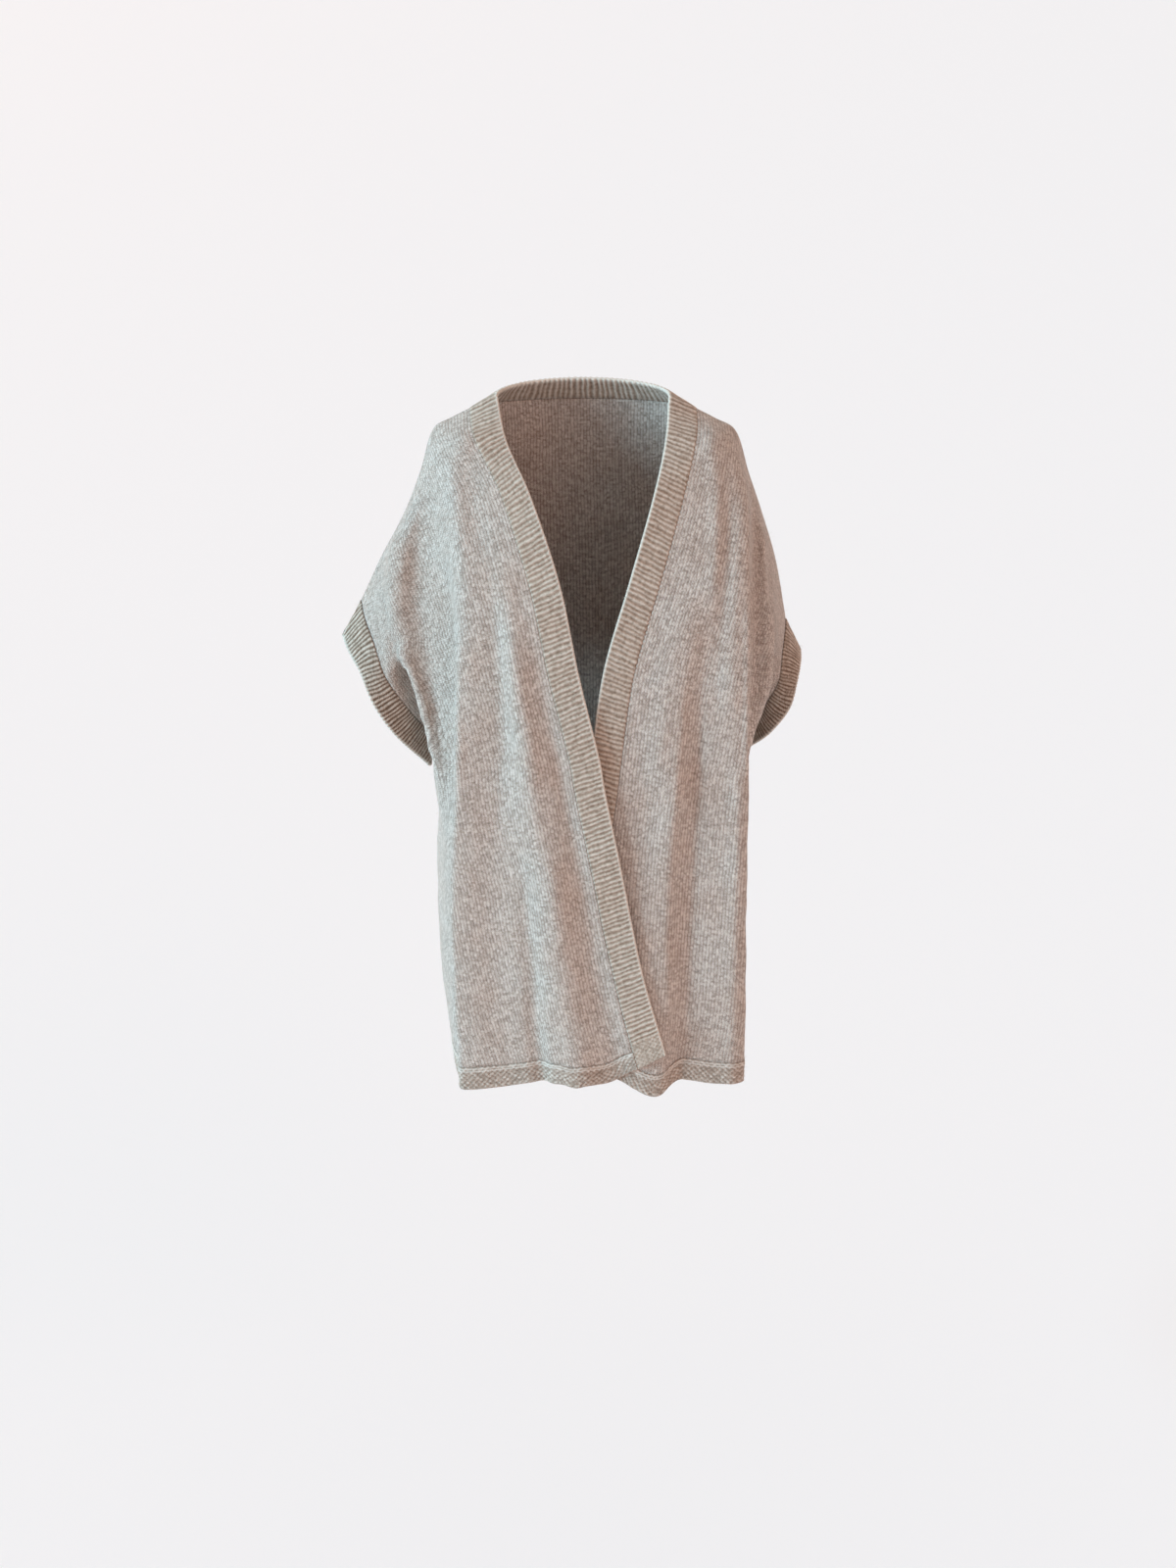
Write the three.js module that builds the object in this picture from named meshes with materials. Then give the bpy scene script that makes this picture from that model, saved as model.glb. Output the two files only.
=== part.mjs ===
// Knitted poncho sweater, worn and hollow: two overlapping fronts and one back with short sleeves
// knitted on, ribbed bands round the front opening and the back neck, ribbed cuffs and a hem strip.
// Millimetres, +Z up. The front faces -Y and the wearer's left is +X. The origin lies between the
// shoulders, at the level where the cloth leaves the neck.
import * as THREE from 'three';

// Driving sizes
const wallThickness = 2.4;
const seamGap = 0.4;
const stripGap = 0.8;
const underarmGap = 1.3;
const bandWidth = 34;
const hemDepth = 28;
const ribRise = { edge: 1.6, seam: 0.9 };
const frontBandRibs = 143;
const neckBandRibs = 44;
const cuffRibs = 88;
const neckCentreX = 1.5;
const yarnColours = { panel: 0xb9aea3, band: 0xab9b8e, hem: 0xb3a79d };

// Levels down the cloth, from the shoulder seam to the bottom edge. Each one is a section.
const levels = ['shoulder', 'crest', 'yoke', 'chest', 'bust', 'underarm', 'armpit', 'waist', 'hip', 'hem'];
const underarmLevel = levels.indexOf('underarm');
const hemLevel = levels.length - 1;
const hipToHem = 150;
const levelSteps = [2, 3, 3, 3, 4, 2, 3, 4, 3];

// Named places across a panel, from the front edge or the neck out to the cuff and side seam
const frontPlaces = ['edge', 'chest', 'ridge', 'valley', 'lip', 'pocket'];
const backPlaces = ['nape', 'neck', 'blade', 'ridge', 'valley', 'lip', 'pocket'];
const placeSteps = [3, 4, 3, 3, 3, 2];
const neckSteps = [2, 2];

// Cuff seam and cuff edge at each level of the sleeve: front half, then back half
const cuffs = {
  right: {
    front: {
      shoulder: { seam: [-255, 0, -240], edge: [-278, 0, -283] },
      crest: { seam: [-250, -20, -254], edge: [-270, -20, -296] },
      yoke: { seam: [-238, -40, -280], edge: [-256, -40, -314] },
      chest: { seam: [-225, -50, -318], edge: [-241, -52, -348] },
      bust: { seam: [-202, -44, -356], edge: [-219, -46, -386] },
      underarm: { seam: [-174, 0, -408], edge: [-178, 0, -445] },
    },
    back: {
      shoulder: { seam: [-255, 0, -240], edge: [-278, 0, -283] },
      crest: { seam: [-251, 20, -252], edge: [-272, 20, -294] },
      yoke: { seam: [-240, 40, -276], edge: [-259, 40, -311] },
      chest: { seam: [-227, 51, -312], edge: [-243, 53, -343] },
      bust: { seam: [-204, 42, -352], edge: [-221, 44, -382] },
      underarm: { seam: [-174, 0, -408], edge: [-178, 0, -445] },
    },
  },
  left: {
    front: {
      shoulder: { seam: [236, 0, -262], edge: [254, 0, -301] },
      crest: { seam: [234, -19, -272], edge: [253, -19, -309] },
      yoke: { seam: [230, -37, -294], edge: [248, -38, -328] },
      chest: { seam: [226, -46, -323], edge: [240, -48, -355] },
      bust: { seam: [211, -40, -354], edge: [219, -43, -386] },
      underarm: { seam: [186, 0, -390], edge: [190, 0, -424] },
    },
    back: {
      shoulder: { seam: [236, 0, -262], edge: [254, 0, -301] },
      crest: { seam: [234, 19, -272], edge: [253, 19, -307] },
      yoke: { seam: [231, 38, -292], edge: [249, 39, -324] },
      chest: { seam: [229, 50, -320], edge: [241, 52, -350] },
      bust: { seam: [213, 42, -350], edge: [220, 44, -381] },
      underarm: { seam: [186, 0, -390], edge: [190, 0, -424] },
    },
  },
};

// Underarm and side seams: in from the bottom of the cuff to the armpit, then down
const sideSeams = {
  right: {
    underarm: [-174, 0, -408],
    armpit: [-154, 2, -392],
    waist: [-170, 8, -498],
    hip: [-171, 8, -648],
    hem: [-153, 8, -797],
  },
  left: {
    underarm: [186, 0, -390],
    armpit: [170, 2, -374],
    waist: [186, 8, -496],
    hip: [187, 8, -648],
    hem: [184, 8, -797],
  },
};

// Front sections. The shoulder row is shared with the back.
const fronts = {
  right: {
    // edge, chest, ridge; valley, lip, pocket
    shoulder: [
      [-95, 0, -2], [-147, 0, -28], [-166, 0, -39],
      [-183, 0, -89], [-203, 0, -138], [-230, 0, -188],
    ],
    crest: [
      [-84, -42, -44], [-134, -42, -46], [-160, -26, -56],
      [-178, -16, -98], [-204, -20, -150], [-229, -20, -204],
    ],
    yoke: [
      [-57, -81, -98], [-120, -66, -98], [-149, -54, -100],
      [-171, -30, -125], [-206, -40, -182], [-226, -38, -228],
    ],
    chest: [
      [-24, -115, -192], [-98, -108, -194], [-136, -96, -196],
      [-162, -62, -216], [-206, -58, -252], [-217, -55, -286],
    ],
    bust: [
      [-3, -132, -292], [-86, -126, -295], [-136, -113, -297],
      [-154, -74, -305], [-194, -62, -318], [-193, -41, -332],
    ],
    underarm: [
      [21, -141, -392], [-76, -134, -394], [-140, -122, -396],
      [-153, -78, -398], [-175, -56, -400], [-167, -23, -386],
    ],
    armpit: [
      [25, -142, -418], [-74, -135, -420], [-141, -123, -422],
      [-154, -79, -424], [-172, -56, -428], [-156, -24, -404],
    ],
    waist: [
      [41, -145, -498], [-66, -138, -500], [-147, -125, -502],
      [-157, -84, -500], [-166, -50, -498], [-168, -20, -497],
    ],
    hip: [
      [70, -149, -646], [-54, -141, -650], [-150, -126, -654],
      [-160, -90, -652], [-169, -54, -650], [-171, -22, -648],
    ],
    hem: [
      [98, -151, -751], [-38, -141, -793], [-143, -124, -806],
      [-150, -92, -803], [-155, -56, -799], [-156, -22, -797],
    ],
  },
  left: {
    shoulder: [
      [98, 0, -2], [151, 0, -29], [172, 0, -41],
      [189, 0, -90], [205, 0, -136], [222, 0, -190],
    ],
    crest: [
      [93, -42, -44], [146, -40, -46], [172, -24, -57],
      [189, -14, -102], [206, -18, -150], [221, -20, -210],
    ],
    yoke: [
      [80, -79, -98], [146, -67, -99], [182, -54, -102],
      [191, -30, -130], [209, -38, -175], [220, -38, -232],
    ],
    chest: [
      [52, -111, -192], [136, -108, -195], [184, -98, -198],
      [190, -62, -216], [212, -56, -245], [221, -53, -286],
    ],
    bust: [
      [24, -124, -290], [120, -124, -295], [185, -114, -298],
      [189, -76, -306], [214, -60, -318], [215, -50, -336],
    ],
    underarm: [
      [10, -130, -392], [114, -131, -394], [186, -121, -396],
      [188, -84, -396], [193, -56, -388], [181, -24, -368],
    ],
    armpit: [
      [7, -131, -418], [113, -132, -420], [186, -122, -422],
      [188, -85, -422], [191, -56, -416], [173, -24, -386],
    ],
    waist: [
      [-3, -133, -500], [108, -135, -500], [187, -125, -500],
      [188, -88, -500], [192, -54, -498], [190, -22, -497],
    ],
    hip: [
      [-12, -134, -650], [104, -138, -650], [188, -126, -650],
      [189, -90, -650], [192, -54, -648], [190, -22, -648],
    ],
    hem: [
      [-18, -134, -790], [98, -141, -802], [188, -126, -799],
      [190, -90, -797], [190, -54, -796], [187, -22, -797],
    ],
  },
};

// Back sections below the shoulder seam, for each side, and the middle of the back
const backs = {
  right: {
    // nape, neck, blade, ridge; valley, lip, pocket
    crest: [
      [-90, 66, -56], [-122, 42, -48], [-143, 36, -51], [-160, 26, -59],
      [-179, 16, -100], [-205, 20, -150], [-230, 20, -203],
    ],
    yoke: [
      [-66, 89, -107], [-106, 72, -101], [-130, 62, -102], [-153, 51, -104],
      [-176, 34, -130], [-207, 40, -184], [-228, 39, -226],
    ],
    chest: [
      [-46, 104, -193], [-88, 97, -192], [-116, 91, -193], [-142, 82, -196],
      [-168, 63, -218], [-206, 59, -254], [-219, 56, -282],
    ],
    bust: [
      [-38, 109, -292], [-74, 107, -292], [-106, 103, -294], [-138, 92, -297],
      [-160, 72, -307], [-192, 58, -322], [-202, 50, -336],
    ],
    underarm: [
      [-35, 110, -392], [-72, 109, -392], [-105, 106, -393], [-139, 95, -394],
      [-155, 74, -398], [-172, 50, -400], [-165, 22, -386],
    ],
    armpit: [
      [-35, 110, -418], [-71, 110, -418], [-104, 106, -418], [-139, 95, -420],
      [-153, 74, -422], [-166, 48, -422], [-157, 24, -404],
    ],
    waist: [
      [-34, 110, -500], [-70, 110, -500], [-105, 106, -500], [-143, 96, -500],
      [-157, 74, -500], [-168, 52, -499], [-172, 30, -498],
    ],
    hip: [
      [-32, 111, -650], [-68, 113, -650], [-106, 108, -650], [-146, 98, -650],
      [-160, 76, -650], [-170, 54, -649], [-174, 32, -648],
    ],
    hem: [
      [-26, 115, -800], [-62, 118, -799], [-102, 112, -799], [-138, 100, -798],
      [-148, 78, -798], [-155, 54, -798], [-156, 32, -797],
    ],
  },
  left: {
    crest: [
      [94, 66, -56], [125, 42, -48], [147, 36, -51], [168, 25, -61],
      [188, 15, -102], [206, 19, -150], [222, 20, -208],
    ],
    yoke: [
      [71, 89, -107], [110, 72, -101], [138, 62, -102], [165, 50, -105],
      [189, 33, -132], [210, 39, -180], [224, 39, -232],
    ],
    chest: [
      [54, 104, -193], [96, 97, -192], [126, 92, -193], [158, 82, -197],
      [184, 62, -220], [212, 57, -250], [223, 54, -286],
    ],
    bust: [
      [47, 109, -292], [84, 107, -292], [118, 103, -294], [156, 92, -298],
      [180, 72, -308], [206, 58, -322], [212, 50, -336],
    ],
    underarm: [
      [46, 110, -392], [86, 109, -392], [121, 106, -393], [158, 95, -394],
      [176, 74, -394], [190, 50, -388], [180, 22, -368],
    ],
    armpit: [
      [46, 110, -418], [86, 110, -418], [121, 106, -418], [158, 95, -420],
      [175, 74, -420], [184, 48, -412], [174, 24, -388],
    ],
    waist: [
      [46, 110, -500], [86, 110, -500], [122, 106, -500], [162, 96, -500],
      [178, 74, -500], [188, 52, -499], [190, 30, -497],
    ],
    hip: [
      [48, 111, -650], [88, 113, -650], [124, 108, -650], [164, 98, -650],
      [180, 76, -650], [190, 54, -649], [191, 32, -648],
    ],
    hem: [
      [50, 115, -800], [88, 118, -800], [126, 112, -799], [164, 100, -799],
      [180, 78, -798], [188, 54, -798], [188, 32, -797],
    ],
  },
  middle: {
    crest: [2, 93, -60],
    yoke: [2, 101, -110],
    chest: [4, 107, -194],
    bust: [5, 110, -292],
    underarm: [7, 110, -392],
    armpit: [7, 110, -418],
    waist: [8, 109, -500],
    hip: [10, 108, -650],
    hem: [13, 112, -801],
  },
};

// Back neck: half width, depth and height of the free edge and of the seam under it
const neckEdge = { halfWidth: 96.5, depth: 52, sideZ: -2, middleZ: 8 };
const neckSeam = { halfWidth: 125.5, depth: 76, sideZ: -17, middleZ: -20 };

// Soft folds: place across in steps of the named places, levels it runs between, half width in the
// same steps, and how far it rises (or sinks) at its strongest
const folds = {
  right: [
    { across: 2.42, from: 2.4, to: 10, halfWidth: 0.36, rise: -7 },
    { across: 1.75, from: 2.8, to: 10, halfWidth: 0.3, rise: 6 },
    { across: 1.2, from: 3.2, to: 10, halfWidth: 0.16, rise: -4 },
    { across: 4.5, from: 1.6, to: 4.6, halfWidth: 0.3, rise: -6 },
  ],
  left: [
    { across: 2.22, from: 2.6, to: 10, halfWidth: 0.3, rise: -8 },
    { across: 1.82, from: 4.4, to: 10, halfWidth: 0.22, rise: 4 },
    { across: 2.78, from: 4.6, to: 10, halfWidth: 0.2, rise: 4 },
    { across: 4.7, from: 1.4, to: 4.4, halfWidth: 0.3, rise: 5 },
  ],
  back: [
    { across: 5.2, from: 1.8, to: 10, halfWidth: 0.5, rise: 6 },
    { across: 6.5, from: 2.6, to: 10, halfWidth: 0.5, rise: -8 },
    { across: 7.6, from: 3.4, to: 10, halfWidth: 0.5, rise: 5 },
    { across: 8.7, from: 2.4, to: 10, halfWidth: 0.5, rise: -6 },
    { across: 10, from: 3, to: 10, halfWidth: 0.55, rise: 7 },
    { across: 11.2, from: 2, to: 10, halfWidth: 0.5, rise: -7 },
  ],
};

const sides = { right: -1, left: 1 };
const neckCount = 4 * neckSteps[0];
const forward = new THREE.Vector3(0, 1, 0);

function vec(xyz) {
  return new THREE.Vector3(...xyz);
}

// A smooth curve through points, read at a place counted in points
function curveThrough(points) {
  const curve = new THREE.CatmullRomCurve3(points, false, 'centripetal');
  const spans = points.length - 1;
  return place => curve.getPoint(Math.min(Math.max(place / spans, 0), 1));
}

// Places at even steps between whole numbers, such as 0, 1/3, 2/3, 1, 1.25 ...
function evenPlaces(steps) {
  const places = [0];
  steps.forEach((count, span) => {
    for (let k = 1; k <= count; k += 1) places.push(span + k / count);
  });
  return places;
}

// Levels of the rows: the last stretch stops at the hem seam, and then comes the bottom edge
function rowLevels() {
  const hemSeam = hemLevel - hemDepth / hipToHem;
  const above = evenPlaces(levelSteps.slice(0, -1));
  const lastSteps = levelSteps[levelSteps.length - 1];
  for (let k = 1; k <= lastSteps; k += 1) {
    above.push(hemLevel - 1 + (hemSeam - hemLevel + 1) * (k / lastSteps));
  }
  above.push(hemLevel);
  return above;
}

const rows = rowLevels();
const hemRow = rows.length - 2;
const underarmRow = rows.indexOf(underarmLevel);

// The outer boundary of a panel: the cuff seam down to the underarm, then the side seam
function outerColumn(side, face) {
  const ring = cuffs[side][face];
  const seam = curveThrough(levels.slice(0, underarmLevel + 1).map(level => vec(ring[level].seam)));
  const sideSeam = curveThrough(levels.slice(underarmLevel).map(level => vec(sideSeams[side][level])));
  return rows.map(level => (level <= underarmLevel ? seam(level) : sideSeam(level - underarmLevel)));
}

// Points of the shoulder seam from the front band or neck to the cuff
function shoulderSeam(side) {
  const row = fronts[side].shoulder.map(vec);
  row[0] = bandSeam(row[0], row[1]);
  row.push(vec(cuffs[side].front.shoulder.seam));
  const curve = curveThrough(row);
  return evenPlaces(placeSteps).map(curve);
}

function bandSeam(edge, chest) {
  return edge.clone().addScaledVector(chest.clone().sub(edge).normalize(), bandWidth);
}

function foldRise(list, place, level) {
  let rise = 0;
  for (const fold of list) {
    const down = (level - fold.from) / (fold.to - fold.from);
    if (down <= 0) continue;
    const start = THREE.MathUtils.smoothstep(down, 0, 0.35);
    const end = 1 - THREE.MathUtils.smoothstep(down, 0.85, 1.15);
    const off = (place - fold.across) / fold.halfWidth;
    rise += fold.rise * start * end * Math.exp(-off * off);
  }
  return rise;
}

// Outward direction at each point of a grid, from its neighbours
function gridNormals(grid, sign) {
  const lastRow = grid.length - 1;
  const lastColumn = grid[0].length - 1;
  return grid.map((row, j) => row.map((point, i) => {
    const across = row[Math.min(i + 1, lastColumn)].clone().sub(row[Math.max(i - 1, 0)]);
    const down = grid[Math.min(j + 1, lastRow)][i].clone().sub(grid[Math.max(j - 1, 0)][i]);
    return across.cross(down).normalize().multiplyScalar(sign);
  }));
}

// Outward direction on a seam that front and back share: square to the seam, with no lean forward
function seamNormal(before, after, side) {
  return after.clone().sub(before).cross(forward).normalize().multiplyScalar(sides[side]);
}

function shareShoulderNormals(surface, side, top, placeOf) {
  top.forEach((point, k) => {
    const before = top[Math.max(k - 1, 0)];
    const after = top[Math.min(k + 1, top.length - 1)];
    surface.normals[0][placeOf(k)] = seamNormal(before, after, side);
  });
}

function shareSideNormals(surface, side, column) {
  for (let j = underarmRow; j < rows.length; j += 1) {
    const before = surface.grid[Math.max(j - 1, underarmRow)][column];
    const after = surface.grid[Math.min(j + 1, rows.length - 1)][column];
    surface.normals[j][column] = seamNormal(before, after, side);
  }
}

function raiseFolds(surface, list, places) {
  const lastColumn = surface.grid[0].length - 1;
  surface.grid.forEach((row, j) => row.forEach((point, i) => {
    if (j === 0 || i === lastColumn || i === 0 && surface.facing > 0) return;
    point.addScaledVector(surface.normals[j][i], foldRise(list, places[i], rows[j]));
  }));
}

// One front: column 0 is the free edge of the band, column 1 its seam, the last the cuff or side seam
function frontSurface(side) {
  const table = fronts[side];
  const columns = frontPlaces.map((name, i) => curveThrough(levels.map(level => vec(table[level][i]))));
  const outer = outerColumn(side, 'front');
  const places = evenPlaces(placeSteps);
  const grid = rows.map((level, j) => {
    const points = columns.map(column => column(level));
    const edge = points[0];
    points[0] = bandSeam(edge, points[1]);
    points.push(outer[j]);
    const across = j === 0 ? shoulderSeam(side) : places.map(curveThrough(points));
    return [edge, ...across];
  });
  const sign = -sides[side];
  const surface = { grid, normals: gridNormals(grid, sign), facing: -1 };
  raiseFolds(surface, folds[side], [0, ...places.map(place => place + 1)]);
  surface.normals = gridNormals(grid, sign);
  const lastColumn = grid[0].length - 1;
  shareShoulderNormals(surface, side, shoulderSeam(side), k => k + 1);
  surface.normals[0][0] = surface.normals[0][1];
  shareSideNormals(surface, side, lastColumn);
  return surface;
}

// Half an oval round the back of the neck, from the right shoulder to the left
function neckArc(shape, share) {
  const angle = Math.PI * share;
  const z = THREE.MathUtils.lerp(shape.sideZ, shape.middleZ, Math.sin(angle));
  return new THREE.Vector3(neckCentreX - shape.halfWidth * Math.cos(angle), shape.depth * Math.sin(angle), z);
}

// The back: columns run from the right cuff and side seam to the left ones
function backSurface() {
  const halves = Object.fromEntries(Object.keys(sides).map(side => {
    const seam = shoulderSeam(side);
    const nape = neckArc(neckSeam, side === 'right' ? 0.25 : 0.75);
    let step = 0;
    const tops = [nape, seam[0]];
    for (const count of placeSteps.slice(0, -1)) {
      step += count;
      tops.push(seam[step]);
    }
    const columns = backPlaces.map((name, i) => curveThrough([tops[i],
      ...levels.slice(1).map(level => vec(backs[side][level][i]))]));
    return [side, { seam, columns, outer: outerColumn(side, 'back') }];
  }));
  const middlePoints = levels.slice(1).map(level => vec(backs.middle[level]));
  const middle = curveThrough([neckArc(neckSeam, 0.5), ...middlePoints]);
  const steps = [...placeSteps].reverse().concat(neckSteps, neckSteps, placeSteps);
  const places = evenPlaces(steps);
  const neckShares = evenPlaces([neckCount]).slice(1, -1);
  const grid = rows.map((level, j) => {
    if (j === 0) {
      return [...[...halves.right.seam].reverse().map(point => point.clone()),
        ...neckShares.map(share => neckArc(neckSeam, share)),
        ...halves.left.seam.map(point => point.clone())];
    }
    const points = [halves.right.outer[j], ...halves.right.columns.map(column => column(level)).reverse(),
      middle(level), ...halves.left.columns.map(column => column(level)), halves.left.outer[j]];
    return places.map(curveThrough(points));
  });
  const half = halves.right.seam.length - 1;
  const neckColumns = { first: half, last: half + neckCount };
  const surface = { grid, normals: gridNormals(grid, 1), facing: 1, neckColumns };
  raiseFolds(surface, folds.back, places);
  surface.normals = gridNormals(grid, 1);
  const lastColumn = grid[0].length - 1;
  shareShoulderNormals(surface, 'right', halves.right.seam, k => half - k);
  shareShoulderNormals(surface, 'left', halves.left.seam, k => lastColumn - half + k);
  shareSideNormals(surface, 'right', 0);
  shareSideNormals(surface, 'left', lastColumn);
  return surface;
}

// The cuff as a closed ring of stations: down the front half, and up the back half
function cuffStations(side, front, back) {
  const edgeOf = face => {
    const ring = cuffs[side][face];
    return curveThrough(levels.slice(0, underarmLevel + 1).map(level => vec(ring[level].edge)));
  };
  const frontEdge = edgeOf('front');
  const backEdge = edgeOf('back');
  const frontColumn = front.grid[0].length - 1;
  const backColumn = side === 'right' ? 0 : back.grid[0].length - 1;
  const stations = [];
  const addStation = (surface, row, column, edge) => {
    stations.push({ seam: surface.grid[row][column], edge: edge(rows[row]), surface, row, column });
  };
  for (let j = 0; j <= underarmRow; j += 1) addStation(front, j, frontColumn, frontEdge);
  for (let j = underarmRow - 1; j > 0; j -= 1) addStation(back, j, backColumn, backEdge);
  const centre = stations.reduce((sum, station) => sum.add(station.seam), new THREE.Vector3())
    .divideScalar(stations.length);
  stations.forEach((station, k) => {
    const before = stations[(k + stations.length - 1) % stations.length];
    const after = stations[(k + 1) % stations.length];
    const along = after.seam.clone().sub(before.seam);
    const normal = along.cross(station.edge.clone().sub(station.seam)).normalize();
    if (normal.dot(station.seam.clone().sub(centre)) < 0) normal.negate();
    station.normal = normal;
  });
  // Panel and cuff share one direction at their seam, except low down where they fold apart
  stations.forEach(station => {
    const panelNormal = station.surface.normals[station.row][station.column];
    const folded = panelNormal.dot(station.normal) < 0.2;
    station.seamNormal = station.normal;
    if (folded) return;
    const mitre = panelNormal.clone().add(station.normal).normalize();
    station.seamNormal = station.row === 0 ? panelNormal : mitre;
    station.surface.normals[station.row][station.column] = station.seamNormal;
  });
  return stations;
}

// Closed walls

class Wall {
  constructor() {
    this.points = [];
    this.faces = [];
  }

  add(point) {
    this.points.push(point.x, point.y, point.z);
    return this.points.length / 3 - 1;
  }

  quad(a, b, c, d) {
    this.faces.push(a, b, c, a, c, d);
  }

  // Triangles between two rows of points that run side by side, each with its share of the way along
  zip(first, second) {
    let a = 0;
    let b = 0;
    while (a < first.length - 1 || b < second.length - 1) {
      const nextA = a < first.length - 1 ? first[a + 1].share : Infinity;
      const nextB = b < second.length - 1 ? second[b + 1].share : Infinity;
      if (nextA <= nextB) {
        this.faces.push(first[a].index, first[a + 1].index, second[b].index);
        a += 1;
      } else {
        this.faces.push(first[a].index, second[b + 1].index, second[b].index);
        b += 1;
      }
    }
  }

  // Six times the volume that the faces enclose, negative where they point inwards
  enclosed() {
    const corner = index => vec(this.points.slice(3 * index, 3 * index + 3));
    let sum = 0;
    for (let k = 0; k < this.faces.length; k += 3) {
      const [a, b, c] = this.faces.slice(k, k + 3).map(corner);
      sum += a.dot(b.cross(c));
    }
    return sum;
  }

  mesh(name, colour) {
    const faces = this.faces;
    if (this.enclosed() < 0) {
      for (let k = 0; k < faces.length; k += 3) [faces[k + 1], faces[k + 2]] = [faces[k + 2], faces[k + 1]];
    }
    const geometry = new THREE.BufferGeometry();
    geometry.setAttribute('position', new THREE.Float32BufferAttribute(this.points, 3));
    geometry.setIndex(faces);
    const yarn = new THREE.MeshStandardMaterial({ color: colour, roughness: 0.95, metalness: 0 });
    const mesh = new THREE.Mesh(geometry, yarn);
    mesh.name = name;
    return mesh;
  }
}

// A step of half a seam gap from a point towards its neighbour
function pulledIn(point, neighbour, gap = seamGap) {
  return point.clone().addScaledVector(neighbour.clone().sub(point).normalize(), gap / 2);
}

// A panel's point, stepped in where it lies on a seam. Where front and back meet, the step is straight
// forward or back; elsewhere it follows the panel.
function steppedIn(surface, j, i, span) {
  const { grid, facing, neckColumns } = surface;
  let point = grid[j][i].clone();
  const last = grid[0].length - 1;
  const atSide = i === last || facing > 0 && i === 0;
  const atNeck = neckColumns && i > neckColumns.first && i < neckColumns.last;
  const shoulder = j === 0 && !atNeck;
  if (shoulder || atSide && j >= underarmRow) point.y += facing * seamGap / 2;
  if (!(atSide && j > underarmRow)) {
    if (i === span.firstColumn) point = pulledIn(point, grid[j][i + 1]);
    if (i === span.lastColumn) point = pulledIn(point, grid[j][i - 1]);
  }
  if (j === span.firstRow && !shoulder) point = pulledIn(point, grid[j + 1][i]);
  if (j === span.lastRow) point = pulledIn(point, grid[j - 1][i]);
  return point;
}

// A plain panel: part of a surface between two rows and two columns, with a wall behind it
function panel(name, colour, surface, span) {
  const wall = new Wall();
  const { normals } = surface;
  const faceOf = depth => {
    const indices = [];
    for (let j = span.firstRow; j <= span.lastRow; j += 1) {
      const line = [];
      for (let i = span.firstColumn; i <= span.lastColumn; i += 1) {
        const point = steppedIn(surface, j, i, span);
        line.push(wall.add(point.addScaledVector(normals[j][i], -depth)));
      }
      indices.push(line);
    }
    return indices;
  };
  const outer = faceOf(0);
  const inner = faceOf(wallThickness);
  const lastJ = outer.length - 1;
  const lastI = outer[0].length - 1;
  for (let j = 0; j < lastJ; j += 1) {
    for (let i = 0; i < lastI; i += 1) {
      wall.quad(outer[j][i], outer[j][i + 1], outer[j + 1][i + 1], outer[j + 1][i]);
      wall.quad(inner[j][i], inner[j + 1][i], inner[j + 1][i + 1], inner[j][i + 1]);
    }
    wall.quad(outer[j][0], outer[j + 1][0], inner[j + 1][0], inner[j][0]);
    wall.quad(outer[j][lastI], inner[j][lastI], inner[j + 1][lastI], outer[j + 1][lastI]);
  }
  for (let i = 0; i < lastI; i += 1) {
    wall.quad(outer[0][i], inner[0][i], inner[0][i + 1], outer[0][i + 1]);
    wall.quad(outer[lastJ][i], outer[lastJ][i + 1], inner[lastJ][i + 1], inner[lastJ][i]);
  }
  return wall.mesh(name, colour);
}

// A ribbed strip: stations along it hold its free edge, its seam and the outward directions there.
// The ribs run across the strip and are raised in the outer face. The inner face is plain.
function ribbedStrip(name, colour, stations, ribs, closed) {
  const wall = new Wall();
  const line = closed ? [...stations, stations[0]] : stations;
  const shares = [0];
  for (let k = 1; k < line.length; k += 1) {
    shares.push(shares[k - 1] + line[k].middle.distanceTo(line[k - 1].middle));
  }
  const total = shares[shares.length - 1];
  const corner = (station, side) => ({ point: station[side], normal: station[`${side}Normal`] });
  const at = (share, side) => {
    const far = share * total;
    let k = 1;
    while (k < shares.length - 1 && shares[k] < far) k += 1;
    const blend = (far - shares[k - 1]) / (shares[k] - shares[k - 1]);
    const from = corner(line[k - 1], side);
    const to = corner(line[k], side);
    const point = from.point.clone().lerp(to.point, blend);
    const normal = from.normal.clone().lerp(to.normal, blend).normalize();
    return { point, normal };
  };
  const outer = { edge: [], seam: [] };
  const inner = { edge: [], seam: [] };
  const fine = 2 * ribs;
  for (const side of ['edge', 'seam']) {
    for (let k = 0; k <= fine; k += 1) {
      const share = k / fine;
      if (closed && k === fine) {
        outer[side].push({ index: outer[side][0].index, share: 1 });
        continue;
      }
      const { point, normal } = at(share, side);
      outer[side].push({ index: wall.add(point.addScaledVector(normal, k % 2 ? ribRise[side] : 0)), share });
    }
    line.forEach((station, k) => {
      if (closed && k === line.length - 1) {
        inner[side].push({ index: inner[side][0].index, share: 1 });
        return;
      }
      const { point, normal } = corner(station, side);
      const index = wall.add(point.clone().addScaledVector(normal, -wallThickness));
      inner[side].push({ index, share: shares[k] / total });
    });
  }
  wall.zip(outer.seam, outer.edge);
  wall.zip(inner.edge, inner.seam);
  wall.zip(outer.edge, inner.edge);
  wall.zip(inner.seam, outer.seam);
  if (!closed) {
    const end = fine;
    const innerEnd = line.length - 1;
    const corners = (a, b) => [outer.edge[a], inner.edge[b], inner.seam[b], outer.seam[a]].map(c => c.index);
    wall.quad(...corners(0, 0));
    wall.quad(...corners(end, innerEnd).reverse());
  }
  return wall.mesh(name, colour);
}

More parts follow.
